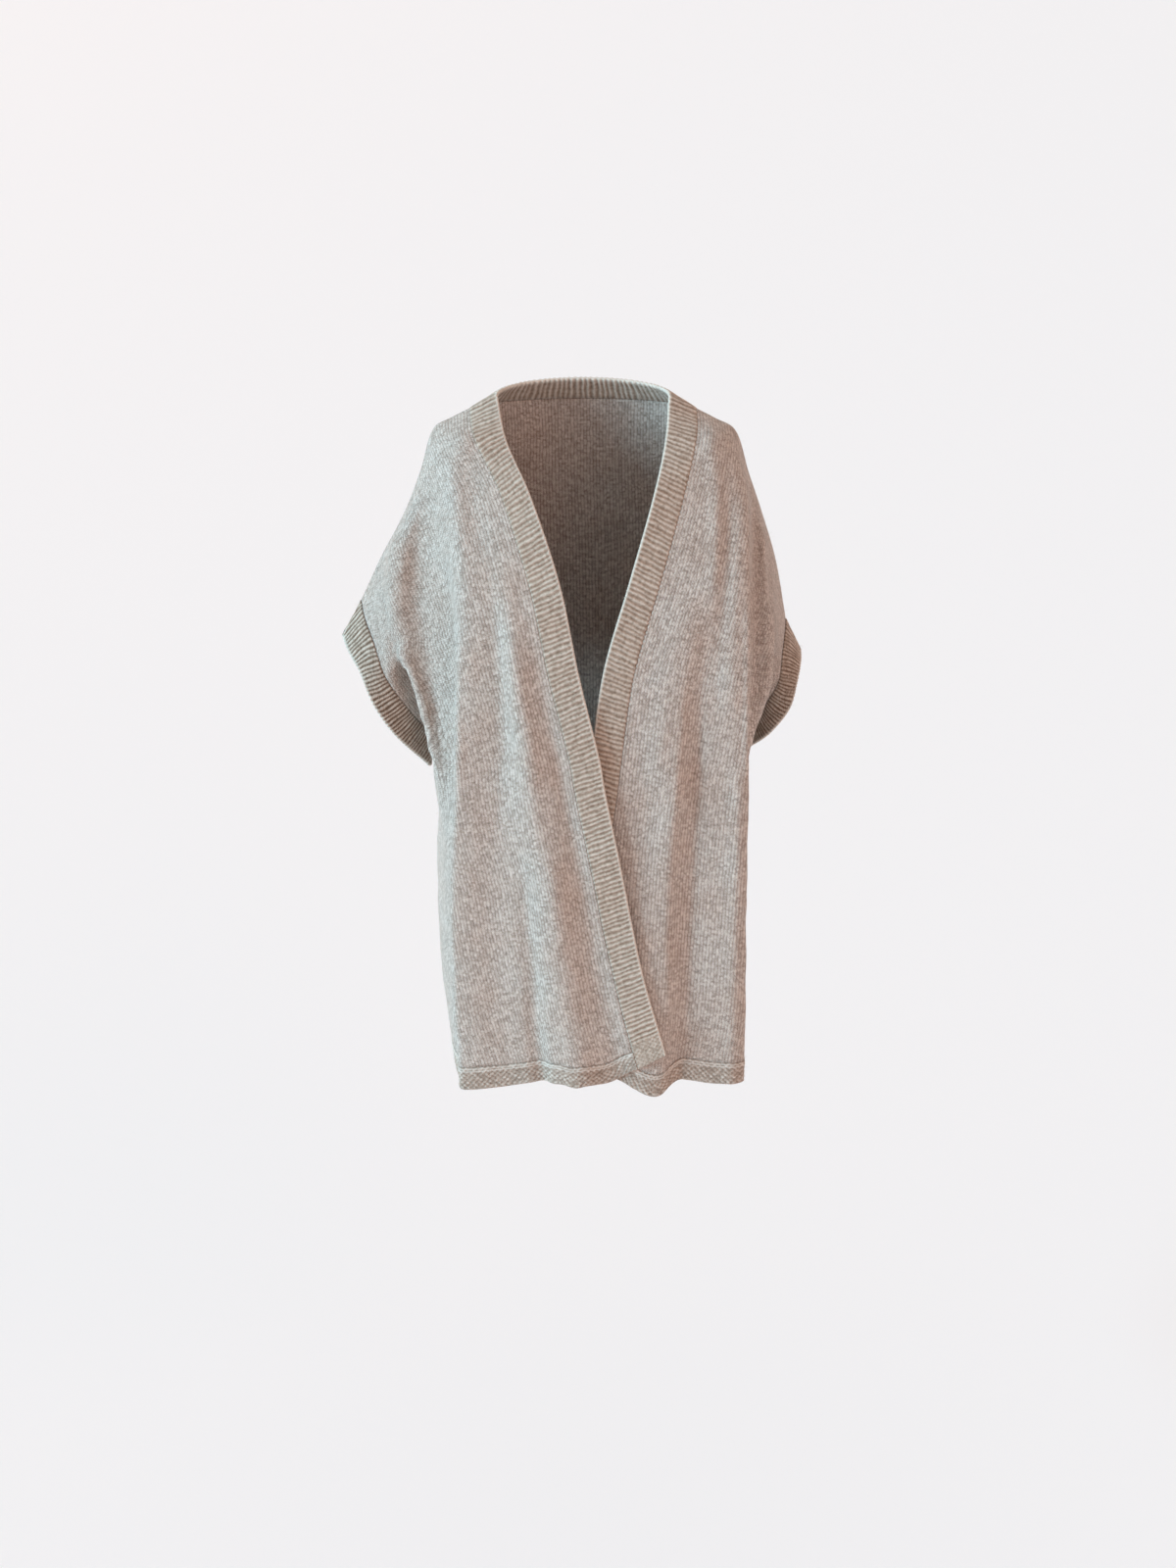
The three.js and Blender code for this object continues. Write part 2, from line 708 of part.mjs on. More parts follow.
function station(edge, seam, edgeNormal, seamNormalAt, gap = stripGap) {
  const free = edge.clone();
  const sewn = pulledIn(seam, edge, gap);
  const middle = free.clone().lerp(sewn, 0.5);
  return { edge: free, seam: sewn, middle, edgeNormal, seamNormal: seamNormalAt };
}

// Both ends of an open strip step back by half the seam gap
function shortened(stations) {
  const last = stations.length - 1;
  for (const [end, next] of [[0, 1], [last, last - 1]]) {
    for (const side of ['edge', 'seam', 'middle']) {
      stations[end][side] = pulledIn(stations[end][side], stations[next][side]);
    }
  }
  return stations;
}

function frontBand(side, surface) {
  const stations = surface.grid.map((row, j) => {
    const normals = surface.normals[j];
    return station(row[0], row[1], normals[0], normals[1]);
  });
  return ribbedStrip(`band_${side}`, yarnColours.band, shortened(stations), frontBandRibs, false);
}

function neckBand(rightFront, leftFront, back) {
  const count = neckCount;
  const firstColumn = evenPlaces(placeSteps).length - 1;
  const stations = [];
  for (let k = 0; k <= count; k += 1) {
    const end = { 0: rightFront, [count]: leftFront }[k];
    const edge = neckArc(neckEdge, k / count);
    if (end) {
      stations.push(station(end.grid[0][0], end.grid[0][1], end.normals[0][0], end.normals[0][1]));
      continue;
    }
    const seam = back.grid[0][firstColumn + k];
    const along = neckArc(neckSeam, (k + 1) / count).sub(neckArc(neckSeam, (k - 1) / count));
    const normal = along.cross(seam.clone().sub(edge)).normalize();
    if (normal.z < 0) normal.negate();
    back.normals[0][firstColumn + k] = normal;
    stations.push(station(edge, seam, normal, normal));
  }
  return ribbedStrip('band_back_neck', yarnColours.band, shortened(stations), neckBandRibs, false);
}

function cuff(side, ring) {
  const stations = ring.map(({ edge, seam, normal, seamNormal: shared, row }) => {
    const gap = row >= underarmRow - 2 ? underarmGap : stripGap;
    return station(edge, seam, normal, shared, gap);
  });
  return ribbedStrip(`cuff_${side}`, yarnColours.band, stations, cuffRibs, true);
}

// Assembly

const group = new THREE.Group();
const front = { right: frontSurface('right'), left: frontSurface('left') };
const back = backSurface();
const rings = {
  right: cuffStations('right', front.right, back),
  left: cuffStations('left', front.left, back),
};
group.add(neckBand(front.right, front.left, back));
for (const side of Object.keys(sides)) {
  const lastColumn = front[side].grid[0].length - 1;
  const body = { firstRow: 0, lastRow: hemRow, firstColumn: 1, lastColumn };
  const strip = { firstRow: hemRow, lastRow: rows.length - 1, firstColumn: 1, lastColumn };
  group.add(panel(`front_${side}`, yarnColours.panel, front[side], body));
  group.add(panel(`hem_${side}`, yarnColours.hem, front[side], strip));
  group.add(frontBand(side, front[side]));
  group.add(cuff(side, rings[side]));
}
const backSpan = { firstColumn: 0, lastColumn: back.grid[0].length - 1 };
const backBody = { ...backSpan, firstRow: 0, lastRow: hemRow };
const backStrip = { ...backSpan, firstRow: hemRow, lastRow: rows.length - 1 };
group.add(panel('back', yarnColours.panel, back, backBody));
group.add(panel('hem_back', yarnColours.hem, back, backStrip));

export default group;
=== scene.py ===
# Knitted poncho sweater, worn and hollow: brushed wool panels, ribbed bands and cuffs, moss stitch hem
import math

import bpy
import numpy as np
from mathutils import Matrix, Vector, noise


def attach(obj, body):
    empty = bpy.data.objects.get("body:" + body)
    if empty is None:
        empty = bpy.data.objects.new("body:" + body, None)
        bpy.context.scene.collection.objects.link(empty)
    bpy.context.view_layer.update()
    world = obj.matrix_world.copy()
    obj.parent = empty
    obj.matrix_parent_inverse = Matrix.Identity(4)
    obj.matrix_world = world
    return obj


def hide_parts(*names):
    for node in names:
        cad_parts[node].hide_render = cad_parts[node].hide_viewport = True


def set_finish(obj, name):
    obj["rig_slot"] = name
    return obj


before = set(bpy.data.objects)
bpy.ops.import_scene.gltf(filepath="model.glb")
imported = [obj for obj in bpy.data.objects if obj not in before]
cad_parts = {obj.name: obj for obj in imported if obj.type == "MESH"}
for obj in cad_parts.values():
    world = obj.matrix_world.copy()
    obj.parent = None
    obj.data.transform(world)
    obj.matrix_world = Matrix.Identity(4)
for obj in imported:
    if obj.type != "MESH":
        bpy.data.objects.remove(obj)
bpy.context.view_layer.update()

bpy.ops.object.select_all(action="DESELECT")
print("frame loaded:", len(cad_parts), "nodes")
mm = 0.001  # tables are in millimetres and meshes in metres

# The cloth's own sizes, in millimetres. Sections run down the cloth, from the shoulder seam to the hem.
cloth = {
    "wall": 2.4,
    "bandWidth": 34.0,
    "hemDepth": 28.0,
    "hipToHem": 150.0,
    "edgeTurn": 0.4,    # a panel's edges turn in by this much
    "tuck": 0.3,        # a strip's sewn edge reaches this far past the seam line
    "stripDip": 2.2,    # how far from the seam a strip dips
    "beadMm": 2.9,      # one chain stitch along a free edge
    "waleMm": 3.8,      # one column of stitches; the real 3.4 by 2.6 mm is too fine to show
    "courseMm": 3.1,    # one row of stitches
}
levels = ["shoulder", "crest", "yoke", "chest", "bust", "underarm", "armpit", "waist", "hip", "hem"]
underarm = levels.index("underarm")
hem = len(levels) - 1
sides = {"right": -1, "left": 1}

# Cuff seam and cuff edge from the shoulder down to the underarm, front half and back half
cuffs = {
    "right": {
        "front": {
            "seam": [(-255, 0, -240), (-250, -20, -254), (-238, -40, -280),
                     (-225, -50, -318), (-202, -44, -356), (-174, 0, -408)],
            "edge": [(-278, 0, -283), (-270, -20, -296), (-256, -40, -314),
                     (-241, -52, -348), (-219, -46, -386), (-178, 0, -445)],
        },
        "back": {
            "seam": [(-255, 0, -240), (-251, 20, -252), (-240, 40, -276),
                     (-227, 51, -312), (-204, 42, -352), (-174, 0, -408)],
            "edge": [(-278, 0, -283), (-272, 20, -294), (-259, 40, -311),
                     (-243, 53, -343), (-221, 44, -382), (-178, 0, -445)],
        },
    },
    "left": {
        "front": {
            "seam": [(236, 0, -262), (234, -19, -272), (230, -37, -294),
                     (226, -46, -323), (211, -40, -354), (186, 0, -390)],
            "edge": [(254, 0, -301), (253, -19, -309), (248, -38, -328),
                     (240, -48, -355), (219, -43, -386), (190, 0, -424)],
        },
        "back": {
            "seam": [(236, 0, -262), (234, 19, -272), (231, 38, -292),
                     (229, 50, -320), (213, 42, -350), (186, 0, -390)],
            "edge": [(254, 0, -301), (253, 19, -307), (249, 39, -324),
                     (241, 52, -350), (220, 44, -381), (190, 0, -424)],
        },
    },
}

# Side seams from the underarm down: underarm, armpit, waist, hip, hem
sideSeams = {
    "right": [(-174, 0, -408), (-154, 2, -392), (-170, 8, -498), (-171, 8, -648), (-153, 8, -797)],
    "left": [(186, 0, -390), (170, 2, -374), (186, 8, -496), (187, 8, -648), (184, 8, -797)],
}

# Front sections: edge, chest, ridge, valley, lip, pocket
fronts = {
    "right": [
        [(-95, 0, -2), (-147, 0, -28), (-166, 0, -39), (-183, 0, -89), (-203, 0, -138), (-230, 0, -188)],
        [(-84, -42, -44), (-134, -42, -46), (-160, -26, -56), (-178, -16, -98), (-204, -20, -150),
         (-229, -20, -204)],
        [(-57, -81, -98), (-120, -66, -98), (-149, -54, -100), (-171, -30, -125), (-206, -40, -182),
         (-226, -38, -228)],
        [(-24, -115, -192), (-98, -108, -194), (-136, -96, -196), (-162, -62, -216), (-206, -58, -252),
         (-217, -55, -286)],
        [(-3, -132, -292), (-86, -126, -295), (-136, -113, -297), (-154, -74, -305), (-194, -62, -318),
         (-193, -41, -332)],
        [(21, -141, -392), (-76, -134, -394), (-140, -122, -396), (-153, -78, -398), (-175, -56, -400),
         (-167, -23, -386)],
        [(25, -142, -418), (-74, -135, -420), (-141, -123, -422), (-154, -79, -424), (-172, -56, -428),
         (-156, -24, -404)],
        [(41, -145, -498), (-66, -138, -500), (-147, -125, -502), (-157, -84, -500), (-166, -50, -498),
         (-168, -20, -497)],
        [(70, -149, -646), (-54, -141, -650), (-150, -126, -654), (-160, -90, -652), (-169, -54, -650),
         (-171, -22, -648)],
        [(98, -151, -751), (-38, -141, -793), (-143, -124, -806), (-150, -92, -803), (-155, -56, -799),
         (-156, -22, -797)],
    ],
    "left": [
        [(98, 0, -2), (151, 0, -29), (172, 0, -41), (189, 0, -90), (205, 0, -136), (222, 0, -190)],
        [(93, -42, -44), (146, -40, -46), (172, -24, -57), (189, -14, -102), (206, -18, -150),
         (221, -20, -210)],
        [(80, -79, -98), (146, -67, -99), (182, -54, -102), (191, -30, -130), (209, -38, -175),
         (220, -38, -232)],
        [(52, -111, -192), (136, -108, -195), (184, -98, -198), (190, -62, -216), (212, -56, -245),
         (221, -53, -286)],
        [(24, -124, -290), (120, -124, -295), (185, -114, -298), (189, -76, -306), (214, -60, -318),
         (215, -50, -336)],
        [(10, -130, -392), (114, -131, -394), (186, -121, -396), (188, -84, -396), (193, -56, -388),
         (181, -24, -368)],
        [(7, -131, -418), (113, -132, -420), (186, -122, -422), (188, -85, -422), (191, -56, -416),
         (173, -24, -386)],
        [(-3, -133, -500), (108, -135, -500), (187, -125, -500), (188, -88, -500), (192, -54, -498),
         (190, -22, -497)],
        [(-12, -134, -650), (104, -138, -650), (188, -126, -650), (189, -90, -650), (192, -54, -648),
         (190, -22, -648)],
        [(-18, -134, -790), (98, -141, -802), (188, -126, -799), (190, -90, -797), (190, -54, -796),
         (187, -22, -797)],
    ],
}

# Back sections under the shoulder seam, crest to hem: nape, neck, blade, ridge, valley, lip, pocket
backs = {
    "right": [
        [(-90, 66, -56), (-122, 42, -48), (-143, 36, -51), (-160, 26, -59), (-179, 16, -100),
         (-205, 20, -150), (-230, 20, -203)],
        [(-66, 89, -107), (-106, 72, -101), (-130, 62, -102), (-153, 51, -104), (-176, 34, -130),
         (-207, 40, -184), (-228, 39, -226)],
        [(-46, 104, -193), (-88, 97, -192), (-116, 91, -193), (-142, 82, -196), (-168, 63, -218),
         (-206, 59, -254), (-219, 56, -282)],
        [(-38, 109, -292), (-74, 107, -292), (-106, 103, -294), (-138, 92, -297), (-160, 72, -307),
         (-192, 58, -322), (-202, 50, -336)],
        [(-35, 110, -392), (-72, 109, -392), (-105, 106, -393), (-139, 95, -394), (-155, 74, -398),
         (-172, 50, -400), (-165, 22, -386)],
        [(-35, 110, -418), (-71, 110, -418), (-104, 106, -418), (-139, 95, -420), (-153, 74, -422),
         (-166, 48, -422), (-157, 24, -404)],
        [(-34, 110, -500), (-70, 110, -500), (-105, 106, -500), (-143, 96, -500), (-157, 74, -500),
         (-168, 52, -499), (-172, 30, -498)],
        [(-32, 111, -650), (-68, 113, -650), (-106, 108, -650), (-146, 98, -650), (-160, 76, -650),
         (-170, 54, -649), (-174, 32, -648)],
        [(-26, 115, -800), (-62, 118, -799), (-102, 112, -799), (-138, 100, -798), (-148, 78, -798),
         (-155, 54, -798), (-156, 32, -797)],
    ],
    "left": [
        [(94, 66, -56), (125, 42, -48), (147, 36, -51), (168, 25, -61), (188, 15, -102),
         (206, 19, -150), (222, 20, -208)],
        [(71, 89, -107), (110, 72, -101), (138, 62, -102), (165, 50, -105), (189, 33, -132),
         (210, 39, -180), (224, 39, -232)],
        [(54, 104, -193), (96, 97, -192), (126, 92, -193), (158, 82, -197), (184, 62, -220),
         (212, 57, -250), (223, 54, -286)],
        [(47, 109, -292), (84, 107, -292), (118, 103, -294), (156, 92, -298), (180, 72, -308),
         (206, 58, -322), (212, 50, -336)],
        [(46, 110, -392), (86, 109, -392), (121, 106, -393), (158, 95, -394), (176, 74, -394),
         (190, 50, -388), (180, 22, -368)],
        [(46, 110, -418), (86, 110, -418), (121, 106, -418), (158, 95, -420), (175, 74, -420),
         (184, 48, -412), (174, 24, -388)],
        [(46, 110, -500), (86, 110, -500), (122, 106, -500), (162, 96, -500), (178, 74, -500),
         (188, 52, -499), (190, 30, -497)],
        [(48, 111, -650), (88, 113, -650), (124, 108, -650), (164, 98, -650), (180, 76, -650),
         (190, 54, -649), (191, 32, -648)],
        [(50, 115, -800), (88, 118, -800), (126, 112, -799), (164, 100, -799), (180, 78, -798),
         (188, 54, -798), (188, 32, -797)],
    ],
    "middle": [(2, 93, -60), (2, 101, -110), (4, 107, -194), (5, 110, -292), (7, 110, -392),
               (7, 110, -418), (8, 109, -500), (10, 108, -650), (13, 112, -801)],
}
neck = {
    "centreX": 1.5,
    "edge": {"halfWidth": 96.5, "depth": 52, "sideZ": -2, "middleZ": 8},
    "seam": {"halfWidth": 125.5, "depth": 76, "sideZ": -17, "middleZ": -20},
}

# Long soft folds: place across, levels from and to, half width in places, rise in millimetres
folds = {
    "right": [(1.42, 2.4, 10, 0.36, -7), (0.75, 2.8, 10, 0.3, 6), (0.2, 3.2, 10, 0.16, -4),
              (3.5, 1.6, 4.6, 0.3, -6)],
    "left": [(1.22, 2.6, 10, 0.3, -8), (0.82, 4.4, 10, 0.22, 4), (1.78, 4.6, 10, 0.2, 4),
             (3.7, 1.4, 4.4, 0.3, 5)],
    "back": [(5.2, 1.8, 10, 0.5, 6), (6.5, 2.6, 10, 0.5, -8), (7.6, 3.4, 10, 0.5, 5),
             (8.7, 2.4, 10, 0.5, -6), (10, 3, 10, 0.55, 7), (11.2, 2, 10, 0.5, -7)],
}

# Creases laid along a path of (place, level): width and rise in millimetres
creases = {
    "right": [
        ([(1.0, 6.9), (1.04, 8.0), (1.06, 11)], 10, -5.0),
        ([(0.56, 6.6), (0.6, 7.8), (0.63, 11)], 16, 4.5),
        ([(1.02, 2.4), (1.08, 3.6), (1.2, 5.2), (1.3, 7.2)], 11, -3.6),
        ([(0.66, 2.6), (0.68, 4.0), (0.66, 6.4)], 13, 3.0),
        ([(2.04, 3.0), (2.0, 4.6), (2.0, 6.4), (1.97, 12)], 7, 3.4),
        ([(2.5, 2.4), (2.6, 3.6), (2.6, 5.2), (2.5, 7.0), (2.4, 12)], 14, -11.0),
        ([(4.7, 3.0), (4.3, 3.3), (4.0, 3.8), (3.75, 4.4), (3.5, 5.2), (3.4, 6.2), (3.4, 7.6)], 8, 7.5),
        ([(1.62, 1.2), (1.72, 2.2), (1.8, 3.4)], 10, 2.0),
        ([(0.7, 0.9), (0.9, 1.8), (1.1, 2.8)], 13, -2.6),
        ([(2.5, 5.0), (2.6, 6.4), (2.5, 7.6)], 6, 2.4),
        ([(5.0, 3.2), (4.7, 3.6), (4.4, 4.1), (4.2, 4.6), (4.1, 5.0)], 11, -9.0),
        ([(4.9, 1.6), (4.8, 2.6), (4.5, 3.6)], 6, -2.0),
        ([(4.1, 0.7), (4.35, 1.7), (4.5, 3.0)], 11, 4.0),
    ],
    "left": [
        ([(0.55, 3.0), (0.6, 4.6), (0.66, 6.4)], 14, 2.0),
        ([(1.0, 1.0), (1.12, 2.2), (1.2, 3.6)], 10, 2.6),
        ([(1.36, 1.6), (1.4, 3.0), (1.42, 4.8)], 9, -2.6),
        ([(0.9, 3.2), (0.9, 5.0), (0.92, 7.2), (0.95, 12)], 9, 3.2),
        ([(1.16, 3.0), (1.18, 5.0), (1.2, 7.0), (1.21, 12)], 7, -3.0),
        ([(0.5, 6.8), (0.52, 8.0), (0.55, 11)], 14, 2.6),
        ([(1.62, 3.4), (1.62, 6.0), (1.6, 12)], 15, -3.0),
        ([(4.2, 1.2), (4.1, 2.4), (3.8, 3.8)], 8, -2.6),
        ([(3.1, 2.2), (2.9, 3.6), (2.7, 5.0)], 7, 2.4),
        ([(1.98, 1.6), (1.98, 4.0), (1.98, 7.0), (1.98, 12)], 5, 3.4),
        ([(2.36, 2.0), (2.4, 4.0), (2.36, 6.0), (2.3, 9.0)], 9, -14.0),
        ([(4.2, 2.0), (4.0, 3.2), (3.7, 4.4), (3.4, 5.6)], 9, 5.0),
        ([(4.9, 2.8), (4.6, 3.8), (4.3, 4.7)], 8, -6.0),
    ],
    "back": [
        ([(4.4, 1.2), (4.6, 2.6), (4.8, 4.4)], 10, -3.0),
        ([(3.6, 2.0), (3.2, 3.4), (3.1, 5.0), (3.3, 6.8)], 8, -3.2),
        ([(2.4, 1.6), (2.6, 3.0), (2.9, 4.4)], 8, 2.6),
        ([(1.4, 2.0), (1.6, 3.2), (2.0, 4.4)], 7, -2.2),
        ([(5.9, 5.0), (5.8, 6.8), (6.0, 8.8)], 12, 2.6),
        ([(7.0, 6.2), (7.1, 7.6), (7.0, 9.0)], 11, -2.6),
        ([(8.2, 1.4), (8.3, 2.4), (8.2, 3.6)], 16, -2.0),
        ([(9.4, 6.6), (9.3, 7.8), (9.4, 9.0)], 11, 2.4),
        ([(11.4, 1.2), (11.3, 2.8), (11.0, 4.6)], 10, -3.0),
        ([(12.5, 2.0), (12.9, 3.4), (12.9, 5.0), (12.7, 6.6)], 8, -3.0),
        ([(13.6, 1.4), (13.4, 2.8), (13.1, 4.2)], 8, 2.6),
        ([(10.6, 7.0), (10.7, 8.0), (10.6, 9.0)], 9, -2.4),
    ],
}

# How far the bottom edge rises at places across, in millimetres: it waves, and the front corner kicks up
hemLifts = {
    "right": [(0, -7), (0.3, -15), (0.66, -6), (0.9, 2), (1.12, 5), (1.5, 2), (2, 0), (2.6, 2), (6, 0)],
    "left": [(0, 11), (0.24, 11), (0.85, -5), (1.21, 12), (1.63, 7), (1.92, 5), (2.6, 1), (6, 0)],
    "back": [(0, 0), (3, 3), (5, -3), (6.6, 5), (8, 0), (9.4, -4), (11.2, 5), (13, -2), (16, 0)],
}
cornerLifts = {"right": 3, "left": 11}


def smoothStep(value, low, high):
    share = np.clip((value - low) / (high - low), 0, 1)
    return share * share * (3 - 2 * share)


def unit(vectors):
    return vectors / np.maximum(np.linalg.norm(vectors, axis=-1, keepdims=True), 1e-9)


def evenPlaces(steps):
    places = [0.0]
    for span, count in enumerate(steps):
        places += [span + k / count for k in range(1, count + 1)]
    return np.array(places)


# A smooth curve through points (..., count, 3), read at places counted in points: centripetal spacing
def curveThrough(points, places):
    points = np.asarray(points, float)
    first = 2 * points[..., :1, :] - points[..., 1:2, :]
    last = 2 * points[..., -1:, :] - points[..., -2:-1, :]
    padded = np.concatenate([first, points, last], axis=-2)
    spans = points.shape[-2] - 1
    span = np.clip(np.floor(places).astype(int), 0, spans - 1)
    w = (places - span)[:, None]
    p0, p1, p2, p3 = (padded[..., span + k, :] for k in range(4))
    d0, d1, d2 = (np.sqrt(np.maximum(np.linalg.norm(b - a, axis=-1, keepdims=True), 1e-8))
                  for a, b in ((p0, p1), (p1, p2), (p2, p3)))
    t1 = ((p1 - p0) / d0 - (p2 - p0) / (d0 + d1) + (p2 - p1) / d1) * d1
    t2 = ((p2 - p1) / d1 - (p3 - p1) / (d1 + d2) + (p3 - p2) / d2) * d1
    return p1 + t1 * w + (3 * (p2 - p1) - 2 * t1 - t2) * w ** 2 + (2 * (p1 - p2) + t1 + t2) * w ** 3


def gridNormals(grid, sign):
    across = np.empty_like(grid)
    across[:, 1:-1] = grid[:, 2:] - grid[:, :-2]
    across[:, 0] = grid[:, 1] - grid[:, 0]
    across[:, -1] = grid[:, -1] - grid[:, -2]
    down = np.empty_like(grid)
    down[1:-1] = grid[2:] - grid[:-2]
    down[0] = grid[1] - grid[0]
    down[-1] = grid[-1] - grid[-2]
    return unit(np.cross(across, down)) * sign


def outerColumn(side, face, rows):
    ring = curveThrough(cuffs[side][face]["seam"], np.minimum(rows, underarm))
    seam = curveThrough(sideSeams[side], np.maximum(rows, underarm) - underarm)
    return np.where(rows[:, None] <= underarm, ring, seam)


def neckArc(shape, shares):
    angle = np.pi * np.asarray(shares)
    z = shape["sideZ"] + (shape["middleZ"] - shape["sideZ"]) * np.sin(angle)
    return np.stack([neck["centreX"] - shape["halfWidth"] * np.cos(angle), shape["depth"] * np.sin(angle), z],
                    axis=-1)


# The free edge of the band, and the panel's points from the band seam out to the cuff and side seam
def frontPoints(side, places, rows):
    columns = np.stack([curveThrough([row[i] for row in fronts[side]], rows) for i in range(6)], axis=1)
    edge = columns[:, 0].copy()
    columns[:, 0] = edge + unit(columns[:, 1] - edge) * cloth["bandWidth"]
    points = np.concatenate([columns, outerColumn(side, "front", rows)[:, None]], axis=1)
    return edge, curveThrough(points, places)


def backPoints(places, rows):
    seams = {side: frontPoints(side, evenPlaces([1] * 6), np.array([0.0]))[1][0] for side in sides}
    tops = {
        "right": np.concatenate([neckArc(neck["seam"], [0.25]), seams["right"][:6]]),
        "left": np.concatenate([neckArc(neck["seam"], [0.75]), seams["left"][:6]]),
        "middle": neckArc(neck["seam"], [0.5])[0],
    }

    def column(side, i):
        return curveThrough([tops[side][i]] + [row[i] for row in backs[side]], rows)

    middle = curveThrough([tops["middle"]] + backs["middle"], rows)
    points = [outerColumn("right", "back", rows)] + [column("right", i) for i in range(6, -1, -1)]
    points += [middle] + [column("left", i) for i in range(7)] + [outerColumn("left", "back", rows)]
    grid = curveThrough(np.stack(points, axis=1), places)
    # The top row is the shoulder seams and the neck arc, and the rows just under it lean to them
    topRow = np.array([0.0])
    rightTop = frontPoints("right", np.clip(6 - places, 0, 6), topRow)[1][0]
    leftTop = frontPoints("left", np.clip(places - 10, 0, 6), topRow)[1][0]
    top = np.where(places[:, None] < 6, rightTop, leftTop)
    atNeck = (places >= 6) & (places <= 10)
    top[atNeck] = neckArc(neck["seam"], (places[atNeck] - 6) / 4)
    fade = np.clip(1 - rows / 0.6, 0, 1)[:, None, None] ** 2
    return grid + (top - grid[0]) * fade


def foldRise(side, places, rows):
    rise = np.zeros((len(rows), len(places)))
    for across, start, end, halfWidth, height in folds[side]:
        down = (rows - start) / (end - start)
        strength = smoothStep(down, 0, 0.35) * (1 - smoothStep(down, 0.85, 1.15))
        rise += height * strength[:, None] * np.exp(-((places - across) / halfWidth) ** 2)[None]
    return rise


# Height of the creases at each point, from the distance to each crease's path
def creaseRise(side, grid, places, rows):
    rise = np.zeros(grid.shape[:2])
    for path, width, height in creases[side]:
        placesAlong = np.interp(np.linspace(0, len(path) - 1, 24), range(len(path)), [p for p, _ in path])
        levelsAlong = np.interp(np.linspace(0, len(path) - 1, 24), range(len(path)), [q for _, q in path])
        i = np.clip(np.searchsorted(places, placesAlong), 0, len(places) - 1)
        j = np.clip(np.searchsorted(rows, levelsAlong), 0, len(rows) - 1)
        line = grid[j, i]
        nearest = np.full(rise.shape, 1e9)
        share = np.zeros(rise.shape)
        for k in range(len(line) - 1):
            step = line[k + 1] - line[k]
            along = np.clip(((grid - line[k]) @ step) / max(step @ step, 1e-9), 0, 1)
            gap = np.linalg.norm(grid - line[k] - along[..., None] * step, axis=-1)
            closer = gap < nearest
            nearest = np.where(closer, gap, nearest)
            share = np.where(closer, (k + along) / (len(line) - 1), share)
        taper = smoothStep(share, 0, 0.3) * (1 - smoothStep(share, 0.72, 1.0))
        uneven = 1 + 0.25 * np.sin(11 * share + height)
        rise += height * taper * uneven * np.exp(-(nearest / width) ** 2)
    return rise


def hemLift(side, places, rows):
    table = hemLifts[side]
    lift = table[0][1] + sum((b - a) * smoothStep(places, p, q) for (p, a), (q, b) in zip(table, table[1:]))
    return smoothStep(rows, hem - 1.1, hem)[:, None] * lift[None]


def softNoise(grid, size, seed):
    offset = Vector((seed, 2 * seed, 3 * seed))
    flat = [noise.noise(Vector(p) / size + offset) for p in grid.reshape(-1, 3)]
    return np.array(flat).reshape(grid.shape[:2])


# Folds, creases and the cloth's own unevenness, which fades out at the seams
def shapedCloth(side, grid, sign, places, rows):
    normals = gridNormals(grid, sign)
    grid = grid + normals * foldRise(side, places, rows)[..., None]
    normals = gridNormals(grid, sign)
    seamFade = smoothStep(rows, 0, 0.5)[:, None] * smoothStep(places[-1] - places, 0, 0.4)[None]
    if side == "back":
        seamFade = seamFade * smoothStep(places, 0, 0.4)[None]
    rise = creaseRise(side, grid, places, rows) + 1.5 * softNoise(grid, 55, 3) + 0.5 * softNoise(grid, 18, 7)
    grid = grid + normals * (rise * seamFade)[..., None]
    grid[..., 2] += hemLift(side, places, rows)
    return grid, gridNormals(grid, sign)


hemSeamLevel = hem - cloth["hemDepth"] / cloth["hipToHem"]
rowLevels = np.concatenate([evenPlaces([12, 13, 24, 25, 25, 7, 20, 36]),
                            8 + (hemSeamLevel - 8) * np.arange(1, 31) / 30, [hem]])
frontPlacesFine = evenPlaces([26, 24, 13, 14, 13, 12])
backPlacesFine = evenPlaces([12, 13, 14, 13, 18, 12, 12, 16, 16, 12, 12, 18, 13, 14, 13, 12])

surfaces = {}
for side, sign in sides.items():
    edge, grid = frontPoints(side, frontPlacesFine, rowLevels)
    edge[:, 2] += smoothStep(rowLevels, hem - 1.1, hem) * cornerLifts[side]
    grid, normals = shapedCloth(side, grid, -sign, frontPlacesFine, rowLevels)
    surfaces[side] = {"grid": grid, "normals": normals, "edge": edge, "places": frontPlacesFine,
                      "sign": -sign}
grid, normals = shapedCloth("back", backPoints(backPlacesFine, rowLevels), 1, backPlacesFine, rowLevels)
surfaces["back"] = {"grid": grid, "normals": normals, "places": backPlacesFine, "sign": 1}
print("cloth surfaces worked out")


# Lengths along rows of a grid, from the first column
def lengthsAcross(grid):
    steps = np.linalg.norm(np.diff(grid, axis=1), axis=-1)
    return np.concatenate([np.zeros((len(grid), 1)), np.cumsum(steps, axis=1)], axis=1)


